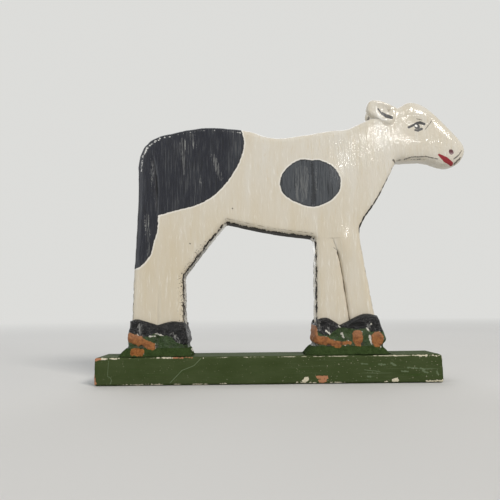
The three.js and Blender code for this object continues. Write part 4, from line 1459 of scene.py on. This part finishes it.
EYE_GLINT = [((106.2, 174.8), (106.5, 174.6), 1.6, 1.5)]
FAR_EAR = [((75.0, 194.3), (75.1, 190.5), 1.3, 1.0), ((76.4, 186.4), (76.1, 184.7), 1.3, 1.5)]
FAR_SIDE = (3.0, 5.0)
FACE_RAGGED = 0.35

far_ear = through_dabs(tree, place, FAR_EAR, FACE_RAGGED)
touched = part_of(tree, far_ear, soft_step(tree, axis_y, *FAR_SIDE))
colour = blend(tree, touched, colour, LINE_BLACK)
for hue, strokes in ((CHALK_AND_HIGHLIGHT, EAR_RIM_HIGHLIGHT), (LINE_BLACK, UPPER_LID + LOWER_LID + PUPIL + EAR_LINES),
                     (LIP_RED, LIPS), (NOSTRIL_MAUVE, NOSTRIL), (GLINT, EYE_GLINT)):
    touch = through_dabs(tree, place, strokes, FACE_RAGGED)
    colour = blend(tree, touch, colour, hue)
    touched = calc(tree, "MAXIMUM", touched, touch)
tree.links.new(colour, shader.inputs["Base Color"])
print("with the face:", len(tree.nodes), "nodes")

# %% [markdown]
# ## Gloss
# The enamel is still glossy, duller on the charcoal and the brushwork, and dull where wood or dirt shows. A
# fine stipple in the bump breaks the lamps' reflections into the small glints of hand-brushed paint.

# %% Figure gloss
LEAST_ROUGHNESS = 0.06
ROUGHER_STREAKS = 0.06
DULLER_CHARCOAL = 0.4
DULLER_BRUSHWORK = 0.35
DULL_WOOD = 0.7
BUMP_FINE = 0.2
BUMP_LONG = 0.1
BUMP_STIPPLE = 0.8
FIGURE_BUMP = 0.1 * MM

rough = calc(tree, "ADD", part_of(tree, fine, ROUGHER_STREAKS), LEAST_ROUGHNESS)
duller = calc(tree, "MAXIMUM", part_of(tree, is_dark, DULLER_CHARCOAL), touched)
rough = calc(tree, "ADD", rough, part_of(tree, duller, DULLER_BRUSHWORK))
dull = part_of(tree, calc(tree, "MAXIMUM", old_wood_and_shade_mask, hollow_grime_and_shade), DULL_WOOD)
tree.links.new(calc(tree, "ADD", rough, dull, clamp=True), shader.inputs["Roughness"])
height = calc(tree, "ADD", part_of(tree, fine, BUMP_FINE), part_of(tree, long_streak, BUMP_LONG))
height = calc(tree, "ADD", height, part_of(tree, stipple, BUMP_STIPPLE))
bumped(tree, shader, height, FIGURE_BUMP)
print("the whole figure paint:", len(tree.nodes), "nodes")

# %% [markdown]
# ## Hoof black and bare composition
# Hooves and mounds are the same composition under two paints. The hooves' black is scuffed to grey in a few
# places, and painted glints lie there too, drawn as dabs that let brush marks through. Bare composition is
# orange-brown and crumbly, paler toward the top as a painted highlight, with dark pits. Both finishes need
# these two, so each is a function.

# %% Hoof black and bare composition
HOOF_BLACK = srgb(8, 8, 10)
HOOF_WORN_AND_GLINT = srgb(140, 139, 135)
WORN_GRIT = ((0.74, 0.98), 0.5)
BRUSHED = {"Cell": (0.7, 0.7, 4.0), "Contrast": 2.2}
BRUSHED_SPAN = (0.42, 0.75)
HOOF_SCUFFS_AND_GLINTS = [
    ((-84.3, 38), (-83.5, 32.5), 3.2, 2.2), ((-62.5, 33), (-58.5, 27.5), 2.6, 2.2),
    ((34.1, 39), (34.4, 34.5), 2.2, 1.6), ((40, 35), (41, 31), 1.6, 1.2), ((66.4, 39), (66.7, 33), 2, 1.5)]
HOOF_SCUFF_AND_GLINT_RAGGED = 2.0
COMPOSITION = srgb(160, 105, 60)
COMPOSITION_HIGHLIGHT_TAN = srgb(166, 118, 86)
COMPOSITION_DEEP = srgb(108, 64, 38)
DEEP_CLOUDS = ((0.35, 0.75), 0.6)
TAN_TOP_HIGHLIGHT = ((28.5, 31.5), 0.6)
DEEP_PITS = ((0.35, 0.1), 0.5)


def hoof_black(tree, place, grit):
    """The hooves' black paint, with worn grit, and brushed grey scuffs that are partly painted glints."""
    coat = washed(tree, HOOF_BLACK, HOOF_WORN_AND_GLINT, grit, *WORN_GRIT)
    brushed = use_group(tree, streaks, Place=place, **BRUSHED)
    # Grey dabs on the black: scuffs, and painted glints.
    scuffs_and_glints = through_dabs(tree, place, HOOF_SCUFFS_AND_GLINTS, HOOF_SCUFF_AND_GLINT_RAGGED)
    return blend(tree, part_of(tree, scuffs_and_glints, soft_step(tree, brushed, *BRUSHED_SPAN)), coat, HOOF_WORN_AND_GLINT)


def bare_composition(tree, place, cloud, grit):
    """The colour of the composition where its paint is gone, with a painted highlight toward the top."""
    body = washed(tree, COMPOSITION, COMPOSITION_DEEP, cloud, *DEEP_CLOUDS)
    height = add_node(tree, "ShaderNodeSeparateXYZ", {0: place}).outputs["Z"]
    # Paler toward the top: a painted highlight.
    body = washed(tree, body, COMPOSITION_HIGHLIGHT_TAN, height, *TAN_TOP_HIGHLIGHT)
    return washed(tree, body, COMPOSITION_DEEP, grit, *DEEP_PITS)


print("scuffs on the hooves:", len(HOOF_SCUFFS_AND_GLINTS))

# %% [markdown]
# ## Hoof and ground paint
# The attributes say where the black ends and where the composition is bare, and grit frays both borders.
# The paint's broken border shows a pale film in places, and a few larger chips of it, with painted glints,
# are dabs. The hooves are glossy and the ground is not, so one function makes both finishes from a few
# facts about each.

# %% Hoof and ground paint
GREEN = srgb(52, 74, 32)
GREEN_DEEP = srgb(36, 52, 22)
# The ground's greens are the hooves' green painted lighter, as painted light that offsets the mounds' shade.
GROUND_GREEN_LIT = srgb(64, 80, 46)
GROUND_GREEN_DEEP_LIT = srgb(50, 64, 34)
FILM_EDGE_AND_GLINT = srgb(206, 202, 190)
HOOF = {"sheen": 0.35, "roughness": 0.06, "greens": (GREEN, GREEN_DEEP)}
GROUND = {"sheen": 0.01, "roughness": 0.5, "greens": (GROUND_GREEN_LIT, GROUND_GREEN_DEEP_LIT)}
CLOUD = {"Cell": (3.0, 3.0, 3.0), "Contrast": 2.0}
GRIT = {"Cell": (0.7, 0.7, 0.7), "Contrast": 2.2}
GRIT_FRAY = 1.2
BARE_FRAY = 0.6
BLACK_BORDER = (0.25, -0.25)
BARE_BORDER = (0.15, -0.15)
FILM_BORDER = (0.5, 0.2)
FILM_CLOUDS = (0.66, 0.8)
PAINT_CHIPS_AND_GLINTS = [
    ((-78.2, 31.2), (-74.0, 31.5), 0.7, 0.6), ((-74.6, 33.1), (-69.2, 31.8), 0.6, 0.7),
    ((-51.8, 27.2), (-50.5, 21.4), 0.8, 1.1), ((38.8, 33.4), (40.8, 31.6), 1.3, 0.8),
    ((48.5, 31.8), (49.6, 29.0), 1.3, 0.8), ((47.2, 36.8), (48.2, 35.5), 0.8, 0.6),
    ((65.4, 34.8), (66.6, 33.3), 1.0, 0.7), ((67.0, 29.4), (67.9, 25.3), 1.7, 1.0),
    ((68.1, 37.9), (68.4, 37.7), 0.8, 0.8)]
PAINT_CHIP_RAGGED = 1.4
FOOT_HOLLOW_GRIME_AND_SHADE = ((0.1, 0.5), 0.8)
ROUGHER = {"bare": 0.5, "grit": 0.15, "green": 0.2}
GRIT_BUMP = 0.3
FOOT_BUMP = 1.0 * MM


def composition_finish(name, kind):
    """Paint over composition, as shiny and as rough as the kind says, with its bare places and chips."""
    material, tree, shader, place = new_finish(name)
    shader.inputs["Specular IOR Level"].default_value = kind["sheen"]
    relief, bare, black = noted(tree, "relief"), noted(tree, "bare"), noted(tree, "black")
    cloud = use_group(tree, streaks, Place=place, **CLOUD)
    grit = use_group(tree, streaks, Place=place, **GRIT)
    green = blend(tree, cloud, *kind["greens"])
    coat = hoof_black(tree, place, grit)
    fray = part_of(tree, calc(tree, "SUBTRACT", grit, NOISE_MIDDLE), GRIT_FRAY)
    is_black = soft_step(tree, calc(tree, "ADD", black, fray), *BLACK_BORDER)
    paint = blend(tree, is_black, green, coat)
    border = calc(tree, "ADD", bare, part_of(tree, fray, BARE_FRAY))
    is_bare = soft_step(tree, border, *BARE_BORDER)
    film_and_glints = part_of(tree, soft_step(tree, border, *FILM_BORDER), soft_step(tree, cloud, *FILM_CLOUDS))
    # Pale chips, and painted glints, drawn as dabs on the hooves.
    film_and_glints = calc(tree, "MAXIMUM", film_and_glints, through_dabs(tree, place, PAINT_CHIPS_AND_GLINTS, PAINT_CHIP_RAGGED))
    paint = blend(tree, film_and_glints, paint, FILM_EDGE_AND_GLINT)
    colour = blend(tree, is_bare, paint, bare_composition(tree, place, cloud, grit))
    # Hollows of the composition are darkened, as grime and as painted shade.
    colour = washed(tree, colour, OLD_WOOD_AND_SHADE, relief, *FOOT_HOLLOW_GRIME_AND_SHADE)
    tree.links.new(colour, shader.inputs["Base Color"])
    rough = calc(tree, "ADD", part_of(tree, is_bare, ROUGHER["bare"]), part_of(tree, grit, ROUGHER["grit"]))
    is_green = calc(tree, "SUBTRACT", 1.0, is_black)
    rough = calc(tree, "ADD", rough, part_of(tree, is_green, ROUGHER["green"]))
    tree.links.new(calc(tree, "ADD", rough, kind["roughness"], clamp=True), shader.inputs["Roughness"])
    bumped(tree, shader, calc(tree, "ADD", part_of(tree, grit, GRIT_BUMP), cloud), FOOT_BUMP)
    print(f"{name}: {len(tree.nodes)} nodes")
    return material


hoof_paint = composition_finish("hoof_enamel", HOOF)
ground_paint = composition_finish("ground_enamel", GROUND)

# %% [markdown]
# ## Green plinth paint
# The plinth's green was brushed along its length, so its streaks lie along x. Toward the right end it is
# more scuffed. A plain green would look like plastic, so two noises mix three greens.

# %% Plinth paint
PLINTH_GREEN = srgb(69, 79, 50)
PLINTH_GREEN_DEEP = srgb(58, 69, 39)
SCUFF = srgb(120, 134, 106)
PLINTH_SHEEN = 0.01
PLINTH_LONG = {"Cell": (40.0, 3.0, 1.2), "Contrast": 2.0}
PLINTH_CLOUD = {"Cell": (18.0, 8.0, 8.0), "Contrast": 2.0}
DARK_STREAKS = ((0.35, 0.1), 0.4)
TOWARD_RIGHT = (-20.0, 110.0)
SCUFFED_STREAKS = (0.68, 0.9)
SCUFFED_SHARE = 0.35

plinth_paint, tree, shader, place = new_finish("green_plinth_enamel")
shader.inputs["Specular IOR Level"].default_value = PLINTH_SHEEN
arris_note = noted(tree, "arris")
long_streak = use_group(tree, streaks, Place=place, **PLINTH_LONG)
cloud = use_group(tree, streaks, Place=place, **PLINTH_CLOUD)
colour = blend(tree, cloud, PLINTH_GREEN, PLINTH_GREEN_DEEP)
colour = washed(tree, colour, GREEN, long_streak, *DARK_STREAKS)
axis_x = add_node(tree, "ShaderNodeSeparateXYZ", {0: place}).outputs["X"]
to_right = soft_step(tree, axis_x, *TOWARD_RIGHT)
colour = washed(tree, colour, SCUFF, long_streak, SCUFFED_STREAKS, part_of(tree, to_right, SCUFFED_SHARE))
print("plinth paint, the coat:", len(tree.nodes), "nodes")

# %% [markdown]
# ## Chips of the plinth
# The paint has chipped wherever the board was knocked: down to a pale undercoat along the arrises, and down
# to pinkish wood in a few larger flakes. The larger chips are dabs at places read off the photograph, and
# they reach only as far back as they are wide, so the far side has none of them. The small ones come from
# noise.

# %% Plinth chips
UNDERCOAT = srgb(206, 198, 174)
BARE_WOOD = srgb(170, 126, 88)
BARE_PINK = srgb(172, 116, 92)
ARRIS_CHIPS = {"Reach": 2.0, "Amount": 0.46, "Cell": (3.5, 1.6, 1.4)}
ACROSS = (0.0, 1.0, 1.0)
LINE_DROP = 0.4
LINE_AMOUNT = 0.74
LINE_TO_RIGHT = 0.1
LINE_SHARE = 0.7
LINE_CHIPS = {"Reach": 1.6, "Cell": (4.0, 1.0, 1.0)}
CHIP_SOFTNESS = 0.1
UNDERCOAT_CHIPS = [
    ((-109, 17.6), (-97.5, 17.7), 1.8, 1.4), ((-73.5, 18), (-62, 18), 1.6, 2.0),
    ((-43, 18), (-42.3, 17.6), 1.2, 1.0), ((36.5, 18), (37, 18), 1.2, 1.2),
    ((79.1, 18), (83.0, 17.2), 1.2, 0.8), ((93.5, 17.7), (98, 17.6), 0.9, 1.1),
    ((98, 17.5), (102.6, 17.5), 1.5, 1.9), ((104.8, 17.6), (109, 17.4), 1.0, 1.6),
    ((112.2, 17.6), (112.7, 15.5), 1.0, 0.6), ((22.6, 2), (24.6, 3.2), 2.2, 3.0),
    ((80.8, 1.8), (82.4, 2.0), 2.8, 2.6), ((75, 0.8), (76.5, 1.0), 0.9, 1.0),
    ((101.5, 1.0), (112.4, 1.2), 1.0, 1.3), ((18, 1), (30, 0.6), 1.0, 1.2), ((40, 0.7), (49, 0.6), 0.9, 0.8),
    ((-97, 0.4), (-69, 0.4), 0.9, 1.3), ((-61, 0.5), (-57, 0.5), 1.0, 1.0),
    ((-49, 0.4), (-39, 0.4), 1.0, 1.0), ((-31, 0.7), (-28, 0.7), 1.0, 1.0)]
UNDERCOAT_RAGGED = 1.2
WOOD_CHIPS = [
    ((31.5, 4.2), (37.5, 4.0), 2.2, 2.2), ((33, 2), (36, 2), 2.4, 2.4), ((-61.5, 18), (-50, 18), 2.0, 1.4),
    ((-112.6, 17.2), (-109.5, 17.4), 3.0, 1.8), ((-113, 7), (-112.2, 1.2), 1.2, 2.2)]
WOOD_RAGGED = 1.4
front_y = plinth_low[1]
arris_line = (0.0, front_y, plinth_high[2] - LINE_DROP)

arris_chip = use_group(tree, broken, Place=place, Distance=arris_note, **ARRIS_CHIPS)
off_line = vector_calc(tree, "DISTANCE", vector_calc(tree, "MULTIPLY", place, ACROSS), arris_line, 1)
line_amount = calc(tree, "ADD", part_of(tree, to_right, LINE_TO_RIGHT), LINE_AMOUNT)
line_chip = use_group(tree, broken, Place=place, Distance=off_line, Amount=line_amount, **LINE_CHIPS)
front_chip = dabs(tree, place, UNDERCOAT_CHIPS, UNDERCOAT_RAGGED, front_y, CHIP_SOFTNESS)
undercoat = calc(tree, "MAXIMUM", arris_chip, front_chip)
pale = calc(tree, "MAXIMUM", undercoat, part_of(tree, line_chip, LINE_SHARE))
colour = blend(tree, pale, colour, UNDERCOAT)
wood = dabs(tree, place, WOOD_CHIPS, WOOD_RAGGED, front_y, CHIP_SOFTNESS)
colour = blend(tree, wood, colour, blend(tree, cloud, BARE_WOOD, BARE_PINK))
print("with the chips:", len(tree.nodes), "nodes")

# %% [markdown]
# ## Scratches and scuffs
# A long hair scratch crosses the front at the left, and shorter scratches and scuffs lie elsewhere. They
# are dabs too, only thinner, and at part of their strength. Pale specks come from noise, more of them to
# the right.

# %% Plinth scratches
SPECK_NOISE = {"scale": 1.1, "detail": 1.0}
SPECK_SPAN = (0.735, 0.76)
SPECK_SHARE = 0.2
SPECKS_TO_RIGHT = 0.5
SCRATCHES = [
    ((-63.7, 1.6), (-56, 9.5), 0.28, 0.3), ((-56, 9.5), (-48.3, 12.4), 0.3, 0.26),
    ((-48.3, 12.4), (-42.9, 17.8), 0.26, 0.32), ((-103.7, 16), (-104.1, 6.2), 0.2, 0.2),
    ((-104.1, 6.2), (-102.2, 5.2), 0.2, 0.2), ((-102.2, 5.2), (-101.4, 3.4), 0.2, 0.3),
    ((-101.4, 3.4), (-102.4, 1.2), 0.3, 0.4), ((62, 8.6), (72, 7.4), 0.25, 0.2)]
SCRATCH_RAGGED = 0.1
SCRATCH_SHARE = 0.8
SCUFFS = [
    ((60, 12.6), (64, 12.2), 0.8, 0.6), ((71.5, 12), (75.2, 11.8), 1.1, 0.9),
    ((79.4, 12.5), (82.4, 11.2), 1.2, 0.9), ((86.3, 7.2), (90, 7.4), 1.2, 0.9),
    ((98, 9.2), (101, 8.4), 1.2, 0.8), ((99.5, 7.6), (102.4, 6.4), 0.9, 1.2),
    ((108.6, 7.0), (109.4, 5.4), 1.2, 1.0), ((64, 4.4), (65.6, 4.2), 1.1, 0.9),
    ((90, 9.8), (96, 9.2), 0.8, 0.7)]
SCUFF_RAGGED = 1.2
SCUFF_SHARE = 0.5

speck = noise_node(tree, place, **SPECK_NOISE)[0]
speck_share = calc(tree, "ADD", part_of(tree, to_right, SPECKS_TO_RIGHT), SPECK_SHARE)
colour = washed(tree, colour, UNDERCOAT, speck, SPECK_SPAN, speck_share)
scratch = dabs(tree, place, SCRATCHES, SCRATCH_RAGGED, front_y, CHIP_SOFTNESS)
colour = blend(tree, part_of(tree, scratch, SCRATCH_SHARE), colour, SCUFF)
scuff = dabs(tree, place, SCUFFS, SCUFF_RAGGED, front_y, CHIP_SOFTNESS)
colour = blend(tree, part_of(tree, scuff, SCUFF_SHARE), colour, SCUFF)
tree.links.new(colour, shader.inputs["Base Color"])
print("with the scratches:", len(tree.nodes), "nodes")

# %% [markdown]
# ## Plinth gloss
# The green is nearly matt, and bare wood is duller still. Chips lie a fraction of a millimetre below the
# coat. That is too little to carve, so a bump shows it.

# %% Plinth gloss
PLINTH_ROUGHNESS = 0.45
PLINTH_ROUGHER_STREAKS = 0.2
PLINTH_ROUGHER_CHIPS = 0.3
PLINTH_STREAK_BUMP = 0.3
PLINTH_BUMP = 0.2 * MM

bare_board = calc(tree, "MAXIMUM", undercoat, wood)
rough = calc(tree, "ADD", part_of(tree, long_streak, PLINTH_ROUGHER_STREAKS), PLINTH_ROUGHNESS)
rough = calc(tree, "ADD", rough, part_of(tree, bare_board, PLINTH_ROUGHER_CHIPS))
tree.links.new(rough, shader.inputs["Roughness"])
height = calc(tree, "SUBTRACT", part_of(tree, long_streak, PLINTH_STREAK_BUMP), bare_board)
bumped(tree, shader, height, PLINTH_BUMP)
print("the whole plinth paint:", len(tree.nodes), "nodes")

# %% [markdown]
# ## Steel and beech
# The screws are old bright steel with brown blots, and the dowels are bare beech with short dark flecks
# along the grain. The dowels are inside the figure, and the screws show only when it is turned over, so two
# plain finishes of the same kind are enough: a colour, flecks of another, and fine lines in the bump.

# %% Steel and beech
FLECK_SPAN = (0.6, 0.9)
STEEL = {"pale": srgb(142, 140, 136), "fleck": srgb(96, 74, 56), "metallic": 1.0,
         "blots": {"Cell": (1.5, 1.5, 1.5), "Contrast": 2.4},
         "lines": {"Cell": (0.3, 3.0, 3.0), "Contrast": 1.5},
         "roughness": 0.25, "rougher": 0.35, "bump": 0.03 * MM}
BEECH_GRAIN = {"Cell": (0.5, 0.5, 9.0), "Contrast": 2.2}
BEECH = {"pale": srgb(206, 172, 126), "fleck": srgb(150, 108, 70), "metallic": 0.0,
         "blots": BEECH_GRAIN, "lines": BEECH_GRAIN,
         "roughness": 0.55, "rougher": 0.2, "bump": 0.05 * MM}


def flecked_finish(name, kind):
    """A plain finish: a colour with flecks of another, and fine lines in its bump."""
    material, tree, shader, place = new_finish(name)
    blots = use_group(tree, streaks, Place=place, **kind["blots"])
    lines = use_group(tree, streaks, Place=place, **kind["lines"])
    colour = blend(tree, soft_step(tree, blots, *FLECK_SPAN), kind["pale"], kind["fleck"])
    tree.links.new(colour, shader.inputs["Base Color"])
    rough = calc(tree, "ADD", part_of(tree, blots, kind["rougher"]), kind["roughness"])
    tree.links.new(rough, shader.inputs["Roughness"])
    shader.inputs["Metallic"].default_value = kind["metallic"]
    bumped(tree, shader, lines, kind["bump"])
    print(f"{name}: {len(tree.nodes)} nodes")
    return material


screw_steel = flecked_finish("screw_steel", STEEL)
dowel_beech = flecked_finish("dowel_beech", BEECH)

# %% [markdown]
# ## Setting the fasteners
# Each tree is run once, on a mesh that is only the points where the fasteners sit. The modifier's sizes are
# set by socket identifier before anything is evaluated, and the result is made a plain mesh. Lengths and
# outer radii are measured on the CAD pieces.

# %% Set the fasteners
SCREW_DETAILS = {"Shank Radius": 2, "Head Height": 2.6, "Point Length": 5, "Thread Pitch": 1.6,
                 "Slot Width": 1, "Slot Depth": 1.2}
DOWEL_DETAILS = {"Flute Depth": 0.25}


def set_fasteners(name, tree, seats, details, outer_radius, finish):
    """One mesh of fasteners, one on the underside of each CAD node named in seats."""
    boxes = [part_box(node) for node in seats]
    low, high = boxes[0]
    measured = {"Length": (high.z - low.z) / MM, outer_radius: (high.x - low.x) / 2 / MM}
    sizes = {**measured, **details}
    filled = {}
    for socket in tree.interface.items_tree:
        if socket.name in sizes:
            filled[socket.identifier] = sizes[socket.name] * MM
        if socket.name == "Finish":
            filled[socket.identifier] = finish
    points = bpy.data.meshes.new("seats")
    points.from_pydata([((low.x + high.x) / 2, (low.y + high.y) / 2, low.z) for low, high in boxes], [], [])
    return finished(name, as_plain_mesh(points, [("NODES", {"node_group": tree})], filled))


foot_screws = set_fasteners(
    "foot_screws", slotted_screw, SCREW_SEATS, SCREW_DETAILS, "Head Radius", screw_steel)
leg_dowels = set_fasteners(
    "leg_dowels", fluted_dowel, DOWEL_SEATS, DOWEL_DETAILS, "Radius", dowel_beech)

# %% [markdown]
# ## Dressing the frame
# Every piece now takes its finish and rides on the figure's one body, and the CAD nodes that it stands for
# are hidden.

# %% Dress the frame
figure = {"cow_board": trunk, "fore_leg_rear": rear_leg, "fore_leg_front": front_leg,
          "right_ear": right_ear, "left_ear": left_ear}


def dress(piece, stands_for, finish):
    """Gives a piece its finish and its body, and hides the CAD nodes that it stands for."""
    piece.data.materials.clear()
    piece.data.materials.append(finish)
    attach(piece, "root")
    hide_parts(*stands_for)


for pieces, slot, finish in ((figure, "painted_figure", figure_paint), (hooves, "hoof", hoof_paint),
                             (mounds, "green_mound", ground_paint)):
    for node, piece in pieces.items():
        dress(piece, [node], finish)
dress(plinth, ["plinth_board"], plinth_paint)
dress(foot_screws, SCREW_SEATS, screw_steel)
dress(leg_dowels, DOWEL_SEATS, dowel_beech)
print("dressed:", len(figure) + len(hooves) + len(mounds), "painted pieces, the plinth and the fasteners")

# %% [markdown]
# ## Size
# The dressed figure's box is written out in millimetres. The dressed figure may not
# outgrow the CAD model.

# %% Size
low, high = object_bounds()
print("visual box in mm:", [round(v / MM, 1) for v in high - low])
